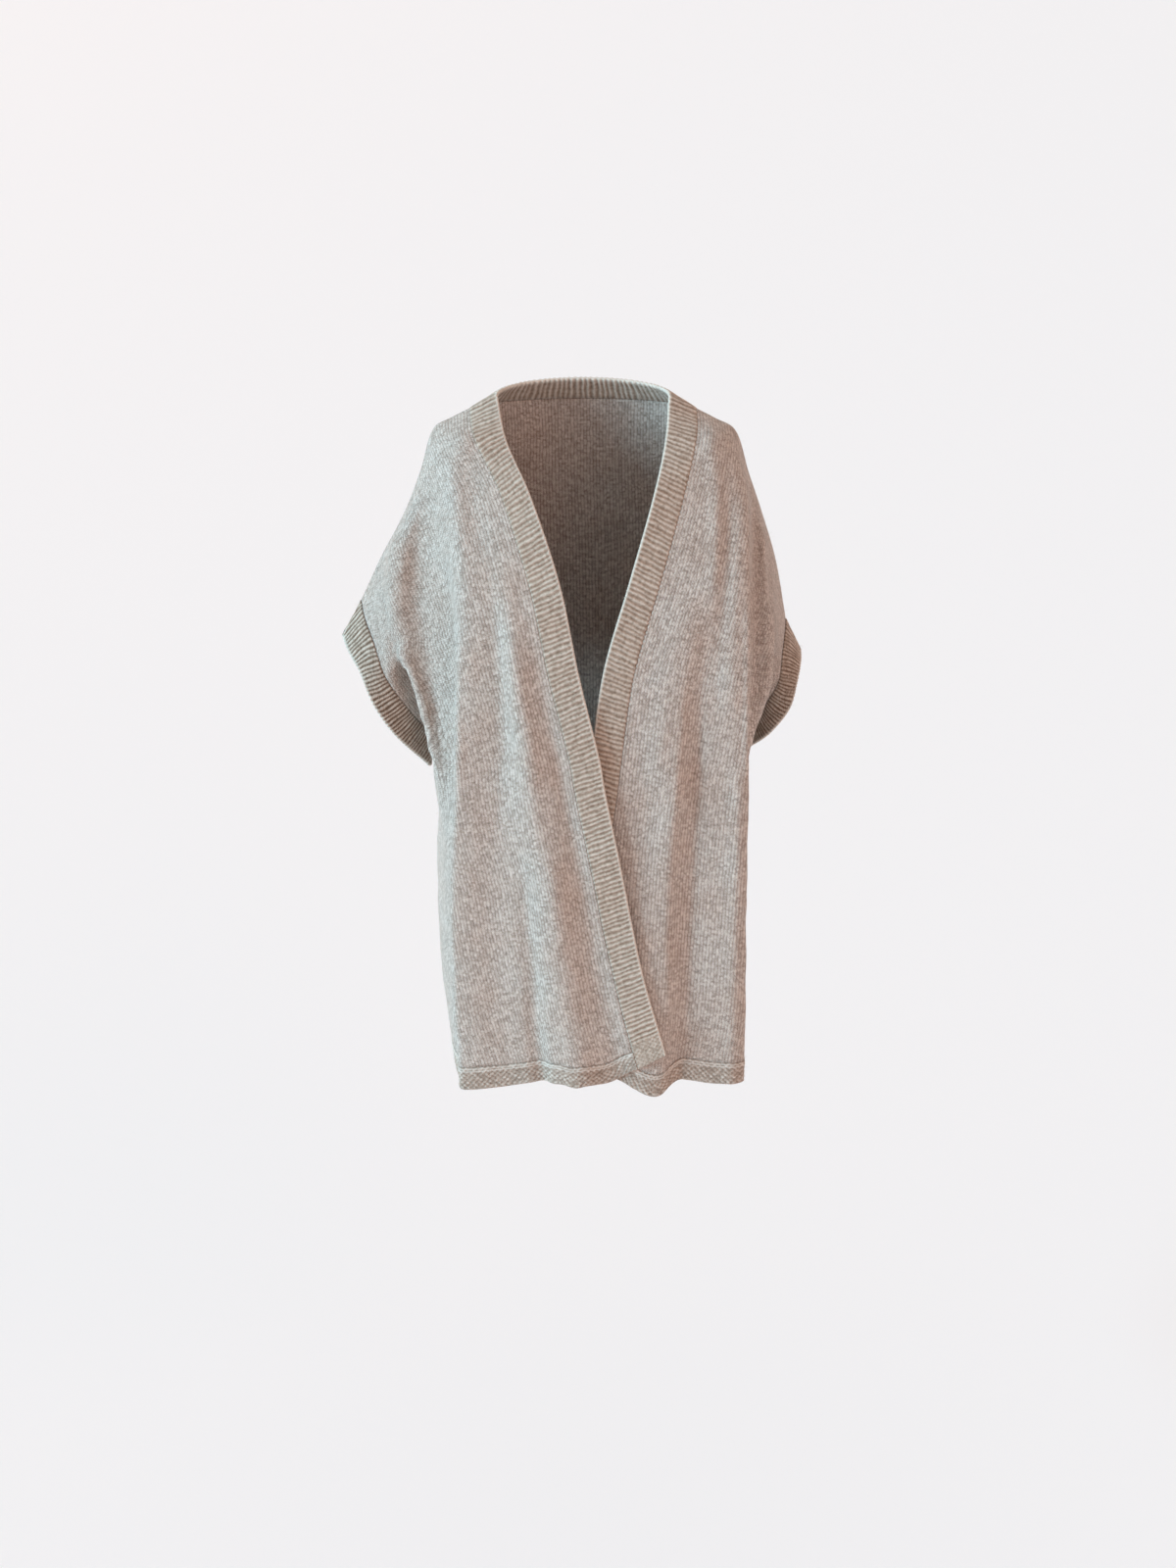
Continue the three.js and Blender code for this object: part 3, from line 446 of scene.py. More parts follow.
# Stitch counts across and down. Columns of stitches follow the front band and the cuff seam, and the
# cloth that is left over between them lies in the fold at the armhole.
def stitchCounts(side):
    surface = surfaces[side]
    grid, places = surface["grid"], surface["places"]
    across = lengthsAcross(grid)
    down = lengthsAcross(grid.transpose(1, 0, 2)).T
    sleeve = 1 - smoothStep(rowLevels, underarm - 0.2, underarm + 1.6)
    if side == "back":
        middle = len(places) // 2
        across = across - across[:, middle:middle + 1]
        for end, outward in ((0, -1), (-1, 1)):
            total = across[:, [end]]
            fromCuff = total[0] - (total - across)
            weight = smoothStep((places - 8) * outward, 4.6, 6.4)[None] * sleeve[:, None]
            across = across + (fromCuff - across) * weight
    else:
        total = across[:, [-1]]
        fromCuff = total[0] - (total - across)
        weight = smoothStep(places, 2.7, 4.3)[None] * sleeve[:, None]
        across = across + (fromCuff - across) * weight
    return np.stack([across / cloth["waleMm"], down / cloth["courseMm"]], axis=-1)


# A grid primitive whose points are laid on the cloth, with its own UV map and point values
def clothGrid(name, points, uv, values):
    rows, columns = points.shape[:2]
    bpy.ops.mesh.primitive_grid_add(x_subdivisions=columns - 1, y_subdivisions=rows - 1, size=1)
    piece = bpy.context.active_object
    piece.name = name
    mesh = piece.data
    mesh.name = name
    mesh.vertices.foreach_set("co", (points * mm).reshape(-1))
    corners = np.zeros(len(mesh.loops), np.int32)
    mesh.loops.foreach_get("vertex_index", corners)
    mesh.uv_layers[0].name = "stitches"
    mesh.uv_layers[0].data.foreach_set("uv", uv.reshape(-1, 2)[corners].astype(np.float32).reshape(-1))
    for key, value in values.items():
        attribute = mesh.attributes.new(key, "FLOAT", "POINT")
        attribute.data.foreach_set("value", value.astype(np.float32).reshape(-1))
    mesh.update()
    return piece


def inEditMode(steps):
    bpy.ops.object.mode_set(mode="EDIT")
    bpy.ops.mesh.select_all(action="SELECT")
    steps()
    bpy.ops.object.mode_set(mode="OBJECT")


def finishPiece(piece, node, slot, materials):
    for material in materials:
        piece.data.materials.append(material)
    bpy.ops.object.shade_smooth()
    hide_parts(node)
    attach(piece, "root")
    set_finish(piece, slot)
    bpy.ops.object.select_all(action="DESELECT")
    print(piece.name, "made:", len(piece.data.polygons), "faces")


# sRGB hex to linear colour
def hexColour(value):
    parts = [(value >> shift & 255) / 255 for shift in (16, 8, 0)]
    return [p / 12.92 if p <= 0.04045 else ((p + 0.055) / 1.055) ** 2.4 for p in parts] + [1.0]


# Adds a node, sets its options and inputs, and links what feeds it
def addNode(tree, kind, options=None, inputs=None, links=None):
    node = tree.nodes.new(kind)
    for key, value in (options or {}).items():
        setattr(node, key, value)
    for key, value in (inputs or {}).items():
        node.inputs[key].default_value = value
    for key, source in (links or {}).items():
        tree.links.new(source, node.inputs[key])
    return node


# Brushed wool yarn in one of its knits. Its long fibres blur the stitches, give a pale bloom where the
# light grazes it, and vary in tone from cream to brown, because undyed fleeces are spun together. Painted
# shade also darkens the gaps between stitches, and on ribs and knots the furrows, with a painted highlight on
# their tops.
# A noise's scale is 1000 over the size in millimetres of what it shows. Real fibres are 0.03 mm, which
# is too fine to show, so they are drawn as tufts 1.8 mm across.
wool = {"wanderMm": 11, "tuftMm": 1.8, "mottleMm": 3.6, "broadMm": 45, "sheenTint": 0xf4efe8}


def woolMaterial(name, look):
    material = bpy.data.materials.new(name)
    material.use_nodes = True
    tree = material.node_tree
    tree.nodes.clear()
    mathNode = "ShaderNodeMath"
    uvMap = addNode(tree, "ShaderNodeUVMap", {"uv_map": "stitches"})
    uv = addNode(tree, "ShaderNodeSeparateXYZ", links={0: uvMap.outputs[0]})
    place = addNode(tree, "ShaderNodeTexCoord").outputs["Object"]

    # Slow wander of the yarn, so that no line of stitches is straight
    wander = addNode(tree, "ShaderNodeTexNoise", {"noise_dimensions": "3D"},
                     {"Scale": 1000 / wool["wanderMm"], "Detail": 2.0}, {"Vector": place})
    shift = addNode(tree, mathNode, {"operation": "MULTIPLY_ADD"}, {1: 0.5, 2: -0.25},
                    {0: wander.outputs["Fac"]})
    wale = addNode(tree, mathNode, {"operation": "ADD"}, links={0: uv.outputs["X"], 1: shift.outputs[0]})
    course = addNode(tree, mathNode, {"operation": "ADD"}, links={0: uv.outputs["Y"], 1: shift.outputs[0]})

    # Rounded columns of slanted stitches: aside is 0 between columns and 0.5 in the middle of one
    aside = addNode(tree, mathNode, {"operation": "PINGPONG"}, {1: 0.5}, {0: wale.outputs[0]})
    bend = addNode(tree, mathNode, {"operation": "MULTIPLY"}, {1: math.pi}, {0: aside.outputs[0]})
    legs = addNode(tree, mathNode, {"operation": "SINE"}, links={0: bend.outputs[0]})
    slant = addNode(tree, mathNode, {"operation": "MULTIPLY_ADD"}, {1: -look["slant"]},
                    {0: aside.outputs[0], 2: course.outputs[0]})
    turn = addNode(tree, mathNode, {"operation": "MULTIPLY"}, {1: 2 * math.pi}, {0: slant.outputs[0]})
    loops = addNode(tree, mathNode, {"operation": "COSINE"}, links={0: turn.outputs[0]})
    loopHeight = addNode(tree, mathNode, {"operation": "MULTIPLY_ADD"},
                         {1: look["loops"], 2: 1 - look["loops"]}, {0: loops.outputs[0]})
    legHeight = addNode(tree, mathNode, {"operation": "MULTIPLY_ADD"},
                        {1: look["legs"], 2: 1 - look["legs"]}, {0: legs.outputs[0]})
    stitch = addNode(tree, mathNode, {"operation": "MULTIPLY"}, links={0: legHeight.outputs[0],
                                                                    1: loopHeight.outputs[0]})

    # Fine fibres and the mottle of the mixed fleece
    fibre = addNode(tree, "ShaderNodeTexNoise", {"noise_dimensions": "3D"},
                    {"Scale": 1000 / wool["tuftMm"], "Detail": 4.0, "Roughness": 0.7}, {"Vector": place})
    mottle = addNode(tree, "ShaderNodeTexNoise", {"noise_dimensions": "3D"},
                     {"Scale": 1000 / wool["mottleMm"], "Detail": 3.0, "Roughness": 0.62}, {"Vector": place})
    broad = addNode(tree, "ShaderNodeTexNoise", {"noise_dimensions": "3D"},
                    {"Scale": 1000 / wool["broadMm"], "Detail": 2.0}, {"Vector": place})
    cells = addNode(tree, "ShaderNodeCombineXYZ", links={"X": wale.outputs[0], "Y": course.outputs[0]})
    cell = addNode(tree, "ShaderNodeVectorMath", {"operation": "FLOOR"}, links={0: cells.outputs[0]})
    speck = addNode(tree, "ShaderNodeTexWhiteNoise", {"noise_dimensions": "2D"},
                    links={"Vector": cell.outputs[0]})

    mixed = addNode(tree, mathNode, {"operation": "MULTIPLY_ADD"}, {1: 0.25},
                    {0: mottle.outputs["Fac"], 2: fibre.outputs["Fac"]})
    specked = addNode(tree, mathNode, {"operation": "MULTIPLY_ADD"}, {1: look["specks"]},
                      {0: speck.outputs["Value"], 2: mixed.outputs[0]})
    # Painted shade: the stitch height lightens the stitch legs and darkens the gaps between columns and rows
    stitchShaded = addNode(tree, mathNode, {"operation": "MULTIPLY_ADD"}, {1: look["stitchShade"]},
                     {0: stitch.outputs[0], 2: specked.outputs[0]})
    tone = addNode(tree, "ShaderNodeMapRange", {"interpolation_type": "SMOOTHSTEP"},
                   {"From Min": look["toneFrom"], "From Max": look["toneTo"]}, {"Value": stitchShaded.outputs[0]})
    ramp = addNode(tree, "ShaderNodeValToRGB", links={"Fac": tone.outputs[0]})
    stops = ramp.color_ramp.elements
    stops[0].color = hexColour(look["dark"])
    stops[1].color = hexColour(look["pale"])
    middle = stops.new(0.5)
    middle.color = hexColour(look["mid"])
    tinted = addNode(tree, "ShaderNodeMix", {"data_type": "RGBA", "blend_type": "MULTIPLY"},
                     {"B": hexColour(look["tint"])}, {"Factor": broad.outputs["Fac"], "A": ramp.outputs[0]})
    colour = tinted.outputs["Result"]

    # Ribs and knots: painted shade darkens the furrows, and a painted highlight makes their tops and the
    # slipped edge chain paler
    if look["furrowShade"]:
        ridge = addNode(tree, "ShaderNodeAttribute", {"attribute_name": "ridge"})
        chainHighlight = addNode(tree, "ShaderNodeAttribute", {"attribute_name": "chainHighlight"})
        deep = addNode(tree, "ShaderNodeMapRange", {"interpolation_type": "SMOOTHSTEP"},
                       {"From Min": 0.62, "From Max": 0.08, "To Max": look["furrowShadeStrength"]},
                       {"Value": ridge.outputs["Fac"]})
        furrowShaded = addNode(tree, "ShaderNodeMix", {"data_type": "RGBA", "blend_type": "MULTIPLY"},
                           {"B": hexColour(look["furrowShade"])}, {"Factor": deep.outputs[0], "A": colour})
        top = addNode(tree, "ShaderNodeMapRange", {"interpolation_type": "SMOOTHSTEP"},
                      {"From Min": 0.55, "From Max": 1.0, "To Max": look["crownHighlight"]},
                      {"Value": ridge.outputs["Fac"]})
        pale = addNode(tree, mathNode, {"operation": "MAXIMUM"}, links={0: top.outputs[0],
                                                                    1: chainHighlight.outputs["Fac"]})
        crownHighlighted = addNode(tree, "ShaderNodeMix", {"data_type": "RGBA", "blend_type": "MIX"},
                          {"B": hexColour(look["crownHighlightColour"])},
                          {"Factor": pale.outputs[0], "A": furrowShaded.outputs["Result"]})
        colour = crownHighlighted.outputs["Result"]

    stitchBump = addNode(tree, "ShaderNodeBump", {}, {"Strength": look["bump"], "Distance": 0.0011},
                         {"Height": stitch.outputs[0]})
    fibreBump = addNode(tree, "ShaderNodeBump", {}, {"Strength": 0.55, "Distance": 0.0009},
                        {"Height": mixed.outputs[0], "Normal": stitchBump.outputs[0]})
    shader = addNode(tree, "ShaderNodeBsdfPrincipled", {},
                     {"Roughness": 0.94, "Specular IOR Level": 0.18, "Sheen Weight": look["sheen"],
                      "Sheen Roughness": 0.5, "Sheen Tint": hexColour(wool["sheenTint"])},
                     {"Base Color": colour, "Normal": fibreBump.outputs[0]})
    addNode(tree, "ShaderNodeOutputMaterial", links={"Surface": shader.outputs[0]})
    return material


# Stocking stitch, smooth side out: soft columns of slanted stitches, with painted shade in the gaps between
# them
plainLook = {
    "slant": 2.2, "loops": 0.3, "legs": 0.66, "specks": 0.24, "stitchShade": 0.44,
    "toneFrom": 0.49, "toneTo": 1.4, "dark": 0x756a62, "mid": 0xaca19a, "pale": 0xddd7d2,
    "tint": 0xf8ece6, "bump": 0.75, "sheen": 0.3, "furrowShade": None,
}
# Rib: ridges paler with a painted highlight and furrows browner with painted shade, and plain stitches that
# hardly show
ribLook = dict(plainLook, furrowShade=0xb0a092, furrowShadeStrength=0.6, crownHighlight=0.38, crownHighlightColour=0xe0d9d0,
               dark=0x857669, mid=0xab9d91, pale=0xc8bdb3, bump=0.5, legs=0.15, loops=0.12, stitchShade=0.25,
               toneFrom=0.5, toneTo=1.3)
# Moss stitch: small speckled knots, with painted shade between them and a painted highlight on their tops
mossLook = dict(plainLook, furrowShade=0xb5a69b, furrowShadeStrength=0.65, crownHighlight=0.5, crownHighlightColour=0xe0dad4,
                dark=0x847a71, mid=0xa69b92, pale=0xc9c0b8, bump=0.45, legs=0.15, loops=0.12, stitchShade=0.25,
                toneFrom=0.5, toneTo=1.3)
# Cuffs: the same rib pulled in, so that its furrows are deeper, drawn with darker painted shade in them and a
# stronger painted highlight on the tops
cuffLook = dict(ribLook, furrowShade=0x8b7869, furrowShadeStrength=0.9, crownHighlight=0.6)
# The purl side, inside: short level bumps in place of columns, with painted shade between them
purlLook = dict(plainLook, slant=0.35, loops=0.5, legs=0.2, dark=0x80756f, mid=0xada29b, stitchShade=0.4)

knitSide = woolMaterial("brushed wool stocking stitch", plainLook)
purlSide = woolMaterial("brushed wool purl side", purlLook)
ribKnit = woolMaterial("brushed wool rib", ribLook)
cuffKnit = woolMaterial("brushed wool deep cuff rib", cuffLook)
mossKnit = woolMaterial("brushed wool moss stitch", mossLook)
print("materials made")

# Plain panels: the knit face outside and the purl side inside, with the seam edges turned in
panels = {
    "right": {"name": "knit_front_right", "node": "front_right", "flat": (0.354, 0.819), "area": 0.195},
    "left": {"name": "knit_front_left", "node": "front_left", "flat": (0.316, 0.827), "area": 0.188},
    "back": {"name": "knit_back", "node": "back", "flat": (0.872, 0.821), "area": 0.388},
}


def makePanel(side, settings):
    surface = surfaces[side]
    rows = len(rowLevels) - 1
    points = surface["grid"][:rows].copy()
    edges = np.zeros(points.shape[:2])
    edges[0] = edges[-1] = 1
    edges[:, 0] = edges[:, -1] = 1
    points -= surface["normals"][:rows] * (cloth["edgeTurn"] * edges)[..., None]
    piece = clothGrid(settings["name"], points, stitchCounts(side)[:rows], {})
    if surface["sign"] < 0:
        inEditMode(bpy.ops.mesh.flip_normals)
    bpy.ops.object.modifier_add(type="SOLIDIFY")
    wall = piece.modifiers[-1]
    wall.thickness = cloth["wall"] * mm
    wall.offset = -1
    wall.material_offset = 1
    bpy.ops.object.modifier_apply(modifier=wall.name)
    finishPiece(piece, settings["node"], "panel_knit", [knitSide, purlSide])
    return piece


pieces = [makePanel(side, settings) for side, settings in panels.items()]


# Points of a line at even steps of its length, with other lines read at the same places
def resampled(lines, along, count):
    steps = np.linalg.norm(np.diff(along, axis=0), axis=-1)
    far = np.concatenate([[0], np.cumsum(steps)])
    at = np.linspace(0, far[-1], count)
    return [np.stack([np.interp(at, far, line[:, axis]) for axis in range(3)], axis=-1) for line in lines], at


# A knitted strip between a seam and a free edge: a closed section swept along, with a rounded free edge
def makeStrip(settings, seam, edge, seamNormals, edgeNormals, closed):
    middle = (seam + edge) / 2
    columns = settings["repeats"] * settings["fine"] + 1
    (seam, edge, seamNormals, edgeNormals), along = resampled(
        [seam, edge, seamNormals, edgeNormals], middle, columns)
    width = np.linalg.norm(edge - seam, axis=-1)
    across = (edge - seam) / width[:, None]
    # Ribs lie square to the edge or tilt a little, though the columns of points don't
    straight = unit(np.gradient((seam + edge) / 2, axis=0))
    lean = ((edge - seam) * straight).sum(axis=-1) + settings["tilt"] * width
    lean *= settings["repeats"] / along[-1]
    phase = np.linspace(0, settings["repeats"], columns)
    thick = settings["thick"]
    outer = np.linspace(-cloth["tuck"] / width.mean(), 1 - 0.5 * thick / width.mean(), settings["outer"])
    inner = outer[::-2]
    turn = np.linspace(0, np.pi, 7)[1:-1]
    shares = np.concatenate([outer, np.full(5, outer[-1]), inner, outer[:1]])
    bulge = np.concatenate([np.zeros(len(outer)), np.sin(turn), np.zeros(len(inner) + 1)]) * thick / 2
    height = np.concatenate([np.zeros(len(outer)), (np.cos(turn) - 1) / 2, -np.ones(len(inner)), [0]]) * thick
    face = np.concatenate([np.ones(len(outer)), np.cos(turn), -np.ones(len(inner)), [1]])
    at = phase[None] + (shares[:, None] - 0.5) * lean[None]
    ridge, chainHighlight = settings["profile"](settings, at, along, shares[:, None], face[:, None])
    rise = settings["rise"][0] + (settings["rise"][1] - settings["rise"][0]) * shares
    offset = height[:, None] + rise[:, None] * ridge * face[:, None]
    sunk = -settings["sunk"] * np.exp(-(shares * width.mean() / cloth["stripDip"]) ** 2) * (face > 0)
    offset += sunk[:, None]
    bead = np.abs(np.sin(np.pi * along / cloth["beadMm"]))[None] * (bulge / (thick / 2))[:, None]
    bead *= 0.45 * settings["bead"]
    towardEdge = shares[:, None, None]
    normals = unit(seamNormals[None] * (1 - towardEdge) + edgeNormals[None] * towardEdge)
    points = (seam[None] + across[None] * (towardEdge * width[None, :, None])
              + across[None] * (bulge[:, None, None] + bead[..., None]) + normals * offset[..., None])
    stitchesAcross = shares * width.mean() / cloth["courseMm"]
    uv = np.stack(np.broadcast_arrays(phase[None] * settings["stitches"], stitchesAcross[:, None]), axis=-1)
    piece = clothGrid(settings["name"], points, uv, {"ridge": ridge, "chainHighlight": chainHighlight})

    def close():
        bpy.ops.mesh.remove_doubles(threshold=1e-7)
        if not closed:
            bpy.ops.mesh.fill_holes(sides=0)
        bpy.ops.mesh.normals_make_consistent(inside=False)

    inEditMode(close)
    finishPiece(piece, settings["node"], settings["slot"], [settings["material"]])
    return piece


# A fixed random share for each whole-numbered cell
def cellShare(column, row):
    mixed = np.sin(np.floor(column) * 12.9898 + np.floor(row) * 78.233) * 43758.5453
    return mixed - np.floor(mixed)


# Knots of moss stitch, which alternate from row to row and are all a little different
def mossKnots(phase, rows):
    knots = np.cos(2 * np.pi * phase) * np.cos(np.pi * rows) * 0.5 + 0.5
    return knots * (0.45 + 0.55 * cellShare(2 * phase + 0.5, rows + 0.5))


# Ribs across the strip, each a chain of stitches. The front bands end in moss stitch at the hem.
def ribProfile(settings, phase, along, shares, face):
    wobble = 0.09 * np.sin(phase * 1.7) + 0.07 * np.sin(phase * 0.61 + 2) + 0.06 * np.sin(shares * 9 + phase)
    wave = 0.5 - 0.5 * np.cos(2 * np.pi * (phase + wobble + (face < 0) * 0.5))
    ridge = wave ** settings["narrow"] * (0.84 + 0.16 * cellShare(phase + 0.5, 0 * phase))
    ridge = ridge * (0.94 + 0.06 * np.cos(2 * np.pi * shares * cloth["bandWidth"] / cloth["courseMm"]))
    toMoss = smoothStep(along[None], along[-1] - 36, along[-1] - 24) * settings["mossEnd"]
    knots = mossKnots(phase, shares * cloth["bandWidth"] / cloth["courseMm"])
    ridge = ridge + (knots - ridge) * toMoss
    # The chain mask paints a highlight on the free edge's chain of stitches and, faintly, on the moss end
    chainHighlight = np.clip((shares - 0.93) / 0.05, 0, 1) * np.ones_like(ridge)
    return ridge, np.maximum(chainHighlight * 0.8, toMoss * 0.08)


# Moss stitch under a double line of chain stitches
def mossProfile(settings, phase, along, shares, face):
    lines = np.exp(-((shares - 0.06) / 0.03) ** 2) + np.exp(-((shares - 0.17) / 0.03) ** 2)
    ridge = mossKnots(phase, shares * cloth["hemDepth"] / cloth["courseMm"]) * (1 - lines) + lines
    # The chain mask paints a highlight on the free edge and on the double line
    chainHighlight = np.clip((shares - 0.95) / 0.04, 0, 1) + 0.2 * lines
    return np.clip(ridge, 0, 1), np.clip(chainHighlight, 0, 0.8) * np.ones_like(ridge)


band = {"fine": 8, "thick": 2.4, "outer": 14, "rise": (0.9, 1.6), "sunk": 0.3, "bead": 1.0, "stitches": 1,
        "tilt": 0, "mossEnd": 0, "narrow": 1.0, "profile": ribProfile, "slot": "rib_knit",
        "material": ribKnit}
# A rib and its furrow take 5.7 mm of a front band, and the ribs rise a little towards the free edge
frontBand = dict(band, outer=20, tilt=0.2, mossEnd=1, repeats=143)
bands = {
    "right": dict(frontBand, name="rib_band_right", node="band_right", flat=(0.034, 0.812)),
    "left": dict(frontBand, name="rib_band_left", node="band_left", flat=(0.034, 0.831)),
}


def bandLines(surface):
    seam, edge = surface["grid"][:, 0], surface["edge"]
    along = np.gradient(edge, axis=0)
    plane = unit(np.cross(edge - seam, along)) * -surface["sign"]
    return seam, edge, unit(plane + surface["normals"][:, 2]), plane


for side, settings in bands.items():
    pieces.append(makeStrip(settings, *bandLines(surfaces[side]), closed=False))

neckBand = dict(band, name="rib_band_back_neck", node="band_back_neck", repeats=44, flat=(0.036, 0.28))
shares = np.linspace(0, 1, 90)
neckSeam, neckEdge = neckArc(neck["seam"], shares), neckArc(neck["edge"], shares)
for place, side in ((0, "right"), (-1, "left")):
    neckSeam[place] = surfaces[side]["grid"][0, 0]
    neckEdge[place] = surfaces[side]["edge"][0]
neckPlane = unit(np.cross(np.gradient(neckEdge, axis=0), neckEdge - neckSeam))
neckPlane *= np.sign(neckPlane[:, 2:])
pieces.append(makeStrip(neckBand, neckSeam, neckEdge, neckPlane, neckPlane, closed=False))

# Cuffs: rings from the shoulder down the front half and up the back half
cuffBand = dict(band, repeats=88, rise=(1.3, 1.9), narrow=1.3, material=cuffKnit)
cuffBands = {
    "right": dict(cuffBand, name="rib_cuff_right", node="cuff_right", flat=(0.038, 0.446)),
    "left": dict(cuffBand, name="rib_cuff_left", node="cuff_left", flat=(0.036, 0.361)),
}


def smoothRing(line, window):
    kernel = np.hanning(window + 2)[1:-1]
    kernel /= kernel.sum()
    half = window // 2
    padded = np.concatenate([line[-half:], line, line[:half]])
    return np.stack([np.convolve(padded[:, axis], kernel, "valid") for axis in range(3)], axis=-1)


def cuffLines(side):
    rows = rowLevels[rowLevels <= underarm]
    ring = {}
    for part in ("seam", "edge"):
        front = curveThrough(cuffs[side]["front"][part], rows)
        back = curveThrough(cuffs[side]["back"][part], rows)
        ring[part] = smoothRing(np.concatenate([front, back[-2:0:-1]]), 5)
    along = np.roll(ring["seam"], -1, axis=0) - np.roll(ring["seam"], 1, axis=0)
    normals = unit(np.cross(along, ring["edge"] - ring["seam"]))
    outward = ring["seam"] - ring["seam"].mean(axis=0)
    normals *= np.sign((normals * outward).sum(axis=-1, keepdims=True))
    normals = unit(smoothRing(normals, 9))
    lines = [ring["seam"], ring["edge"], normals, normals]
    return [np.concatenate([line, line[:1]]) for line in lines]


for side, settings in cuffBands.items():
    pieces.append(makeStrip(settings, *cuffLines(side), closed=True))

hemStrip = {"fine": 6, "thick": 2.6, "outer": 28, "rise": (1.1, 1.1), "sunk": 0.2, "bead": 0.8, "stitches": 2,
            "tilt": 0, "profile": mossProfile, "slot": "hem_knit", "material": mossKnit}
hems = {
    "right": dict(hemStrip, name="moss_hem_right", node="hem_right", repeats=52, flat=(0.028, 0.35)),
    "left": dict(hemStrip, name="moss_hem_left", node="hem_left", repeats=48, flat=(0.028, 0.315)),
    "back": dict(hemStrip, name="moss_hem_back", node="hem_back", repeats=80, flat=(0.028, 0.516)),
}
for side, settings in hems.items():
    surface = surfaces[side]
    pieces.append(makeStrip(settings, surface["grid"][-2], surface["grid"][-1],
                            surface["normals"][-2], surface["normals"][-1], closed=False))

# Loose fibres that stand off the brushed wool. A real one is 0.03 mm thick; these are drawn thicker.
fuzz = {"seed": 11, "perSquareCm": 2.2, "length": (3.5, 9.0), "thick": 0.11, "sunk": 0.4}
fuzzMaterial = bpy.data.materials.new("loose wool fibre")
fuzzMaterial.use_nodes = True
fuzzShader = fuzzMaterial.node_tree.nodes["Principled BSDF"]
for key, value in {"Base Color": hexColour(0xded6cb), "Roughness": 0.8, "Specular IOR Level": 0.2,
                   "Sheen Weight": 0.4}.items():
    fuzzShader.inputs[key].default_value = value


def makeFuzz(piece, slot, randoms):
    mesh = piece.data
    mesh.calc_loop_triangles()
    count = len(mesh.loop_triangles)
    corners = np.zeros(count * 3, np.int32)
    mesh.loop_triangles.foreach_get("vertices", corners)
    spots = np.zeros(len(mesh.vertices) * 3)
    mesh.vertices.foreach_get("co", spots)
    a, b, c = spots.reshape(-1, 3)[corners.reshape(-1, 3)].transpose(1, 0, 2)
    facing = np.cross(b - a, c - a)
    size = np.linalg.norm(facing, axis=-1)
    squareCm = size.sum() / 2 * 1e4
    number = int(squareCm / 2 * fuzz["perSquareCm"])
    chosen = randoms.choice(count, number, p=size / size.sum())
    mix = randoms.random((number, 2, 1))
    mix = np.where(mix.sum(axis=1, keepdims=True) > 1, 1 - mix, mix)
    roots = a[chosen] + (b - a)[chosen] * mix[:, 0] + (c - a)[chosen] * mix[:, 1]
    out = unit(facing[chosen])
    away = unit(np.cross(out, randoms.normal(size=(number, 3))))
    length = randoms.uniform(*fuzz["length"], (number, 1)) * mm
    lift = randoms.uniform(0.2, 1.1, (number, 1))
    bent = unit(np.cross(out, away)) * randoms.uniform(-0.5, 0.5, (number, 1))
    middle = roots + (away * 0.5 + out * 0.5 * lift) * length
    tip = middle + (away * 0.4 + out * (lift - 0.35) * 0.5 + bent) * length * 0.5
    sideways = unit(np.cross(out, away)) * fuzz["thick"] * mm / 2
    upward = out * fuzz["thick"] * mm / 2
    sunk = roots - out * fuzz["sunk"] * mm
    rings = [sunk + sideways, sunk - sideways, sunk + upward,
             middle + sideways, middle - sideways, middle + upward, tip]
    points = np.stack(rings, axis=1).reshape(-1, 3)
    shape = np.array([(0, 1, 4), (0, 4, 3), (1, 2, 5), (1, 5, 4), (2, 0, 3), (2, 3, 5),
                      (3, 4, 6), (4, 5, 6), (5, 3, 6), (0, 2, 1)])
    faces = (shape[None] + 7 * np.arange(number)[:, None, None]).reshape(-1, 3)
    hairs = bpy.data.meshes.new("fuzz_" + piece.name)
    hairs.from_pydata(points.tolist(), [], faces.tolist())
    hairs.materials.append(fuzzMaterial)
    hairPiece = bpy.data.objects.new("fuzz_" + piece.name, hairs)
    bpy.context.scene.collection.objects.link(hairPiece)
    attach(hairPiece, "root")
    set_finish(hairPiece, slot)
    print(hairPiece.name, "made:", number, "fibres")


randoms = np.random.default_rng(fuzz["seed"])
for piece in pieces:
    makeFuzz(piece, piece["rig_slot"], randoms)

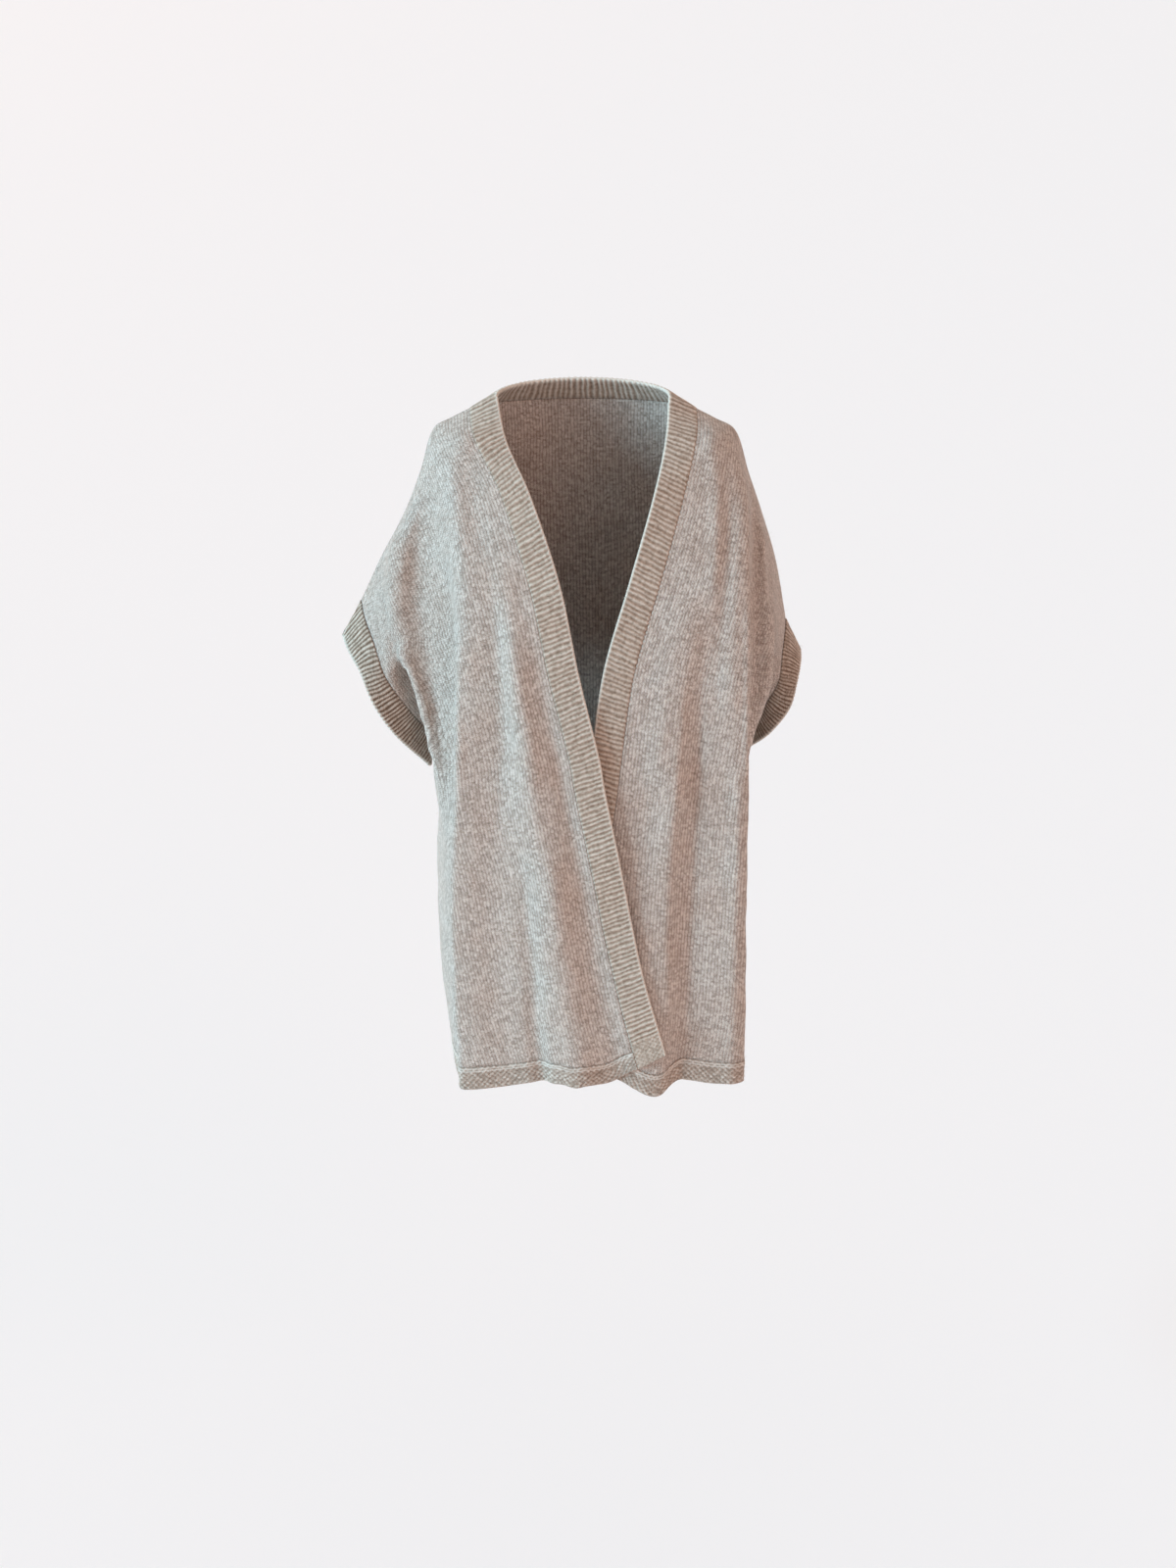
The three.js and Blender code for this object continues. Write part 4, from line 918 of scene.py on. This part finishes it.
# Stage: a plain pale floor under the garment, soft light from both sides, and the camera
stage = {"floorZ": -1.48, "floorRadius": 250, "floor": 0xf5f5f7, "cool": 0xbcecff, "warm": 0xffb894,
         "world": 0xfff4ec, "worldStrength": 0.55}
bpy.ops.mesh.primitive_circle_add(vertices=64, radius=stage["floorRadius"], fill_type="NGON",
                                  location=(0, 0, stage["floorZ"]))
floor = bpy.context.active_object
floor.name = "floor"
floorMaterial = bpy.data.materials.new("pale paper floor")  # matt paper, with no gloss to see
floorMaterial.use_nodes = True
floorShader = floorMaterial.node_tree.nodes["Principled BSDF"]
floorShader.inputs["Base Color"].default_value = hexColour(stage["floor"])
floorShader.inputs["Roughness"].default_value = 0.9
floor.data.materials.append(floorMaterial)

lights = {
    "key": {"energy": 4.5, "colour": stage["cool"], "angle": 34, "from": (-3.4, -1.1, 1.15)},
    "rear": {"energy": 1.0, "colour": stage["warm"], "angle": 40, "from": (-1.6, 3.0, 1.2)},
    "fill": {"energy": 1.0, "colour": stage["warm"], "angle": 60, "from": (2.6, -2.4, 1.0)},
}
for name, settings in lights.items():
    bpy.ops.object.light_add(type="SUN", location=settings["from"])
    lamp = bpy.context.active_object
    lamp.name = name
    lamp.data.energy = settings["energy"]
    lamp.data.color = hexColour(settings["colour"])[:3]
    lamp.data.angle = math.radians(settings["angle"])
    lamp.rotation_euler = (-Vector(settings["from"])).to_track_quat("-Z", "Y").to_euler()

world = bpy.context.scene.world or bpy.data.worlds.new("studio")
bpy.context.scene.world = world
world.use_nodes = True
worldShader = world.node_tree.nodes["Background"]
worldShader.inputs["Color"].default_value = hexColour(stage["world"])
worldShader.inputs["Strength"].default_value = stage["worldStrength"]
bpy.context.scene.view_settings.view_transform = "Standard"

view = {"target": Vector((0.007, 0, -0.466)), "distance": 2.75, "down": math.radians(20), "lens": 53.2,
        "sensor": 36, "clipEnd": 600}
bpy.ops.object.camera_add()
camera = bpy.context.active_object
camera.name = "camera"
back = Vector((0, -math.cos(view["down"]), math.sin(view["down"])))
camera.location = view["target"] + back * view["distance"]
camera.rotation_euler = (-back).to_track_quat("-Z", "Y").to_euler()
camera.data.lens = view["lens"]
camera.data.sensor_width = view["sensor"]
camera.data.clip_end = view["clipEnd"]
bpy.context.scene.camera = camera
print("stage set")
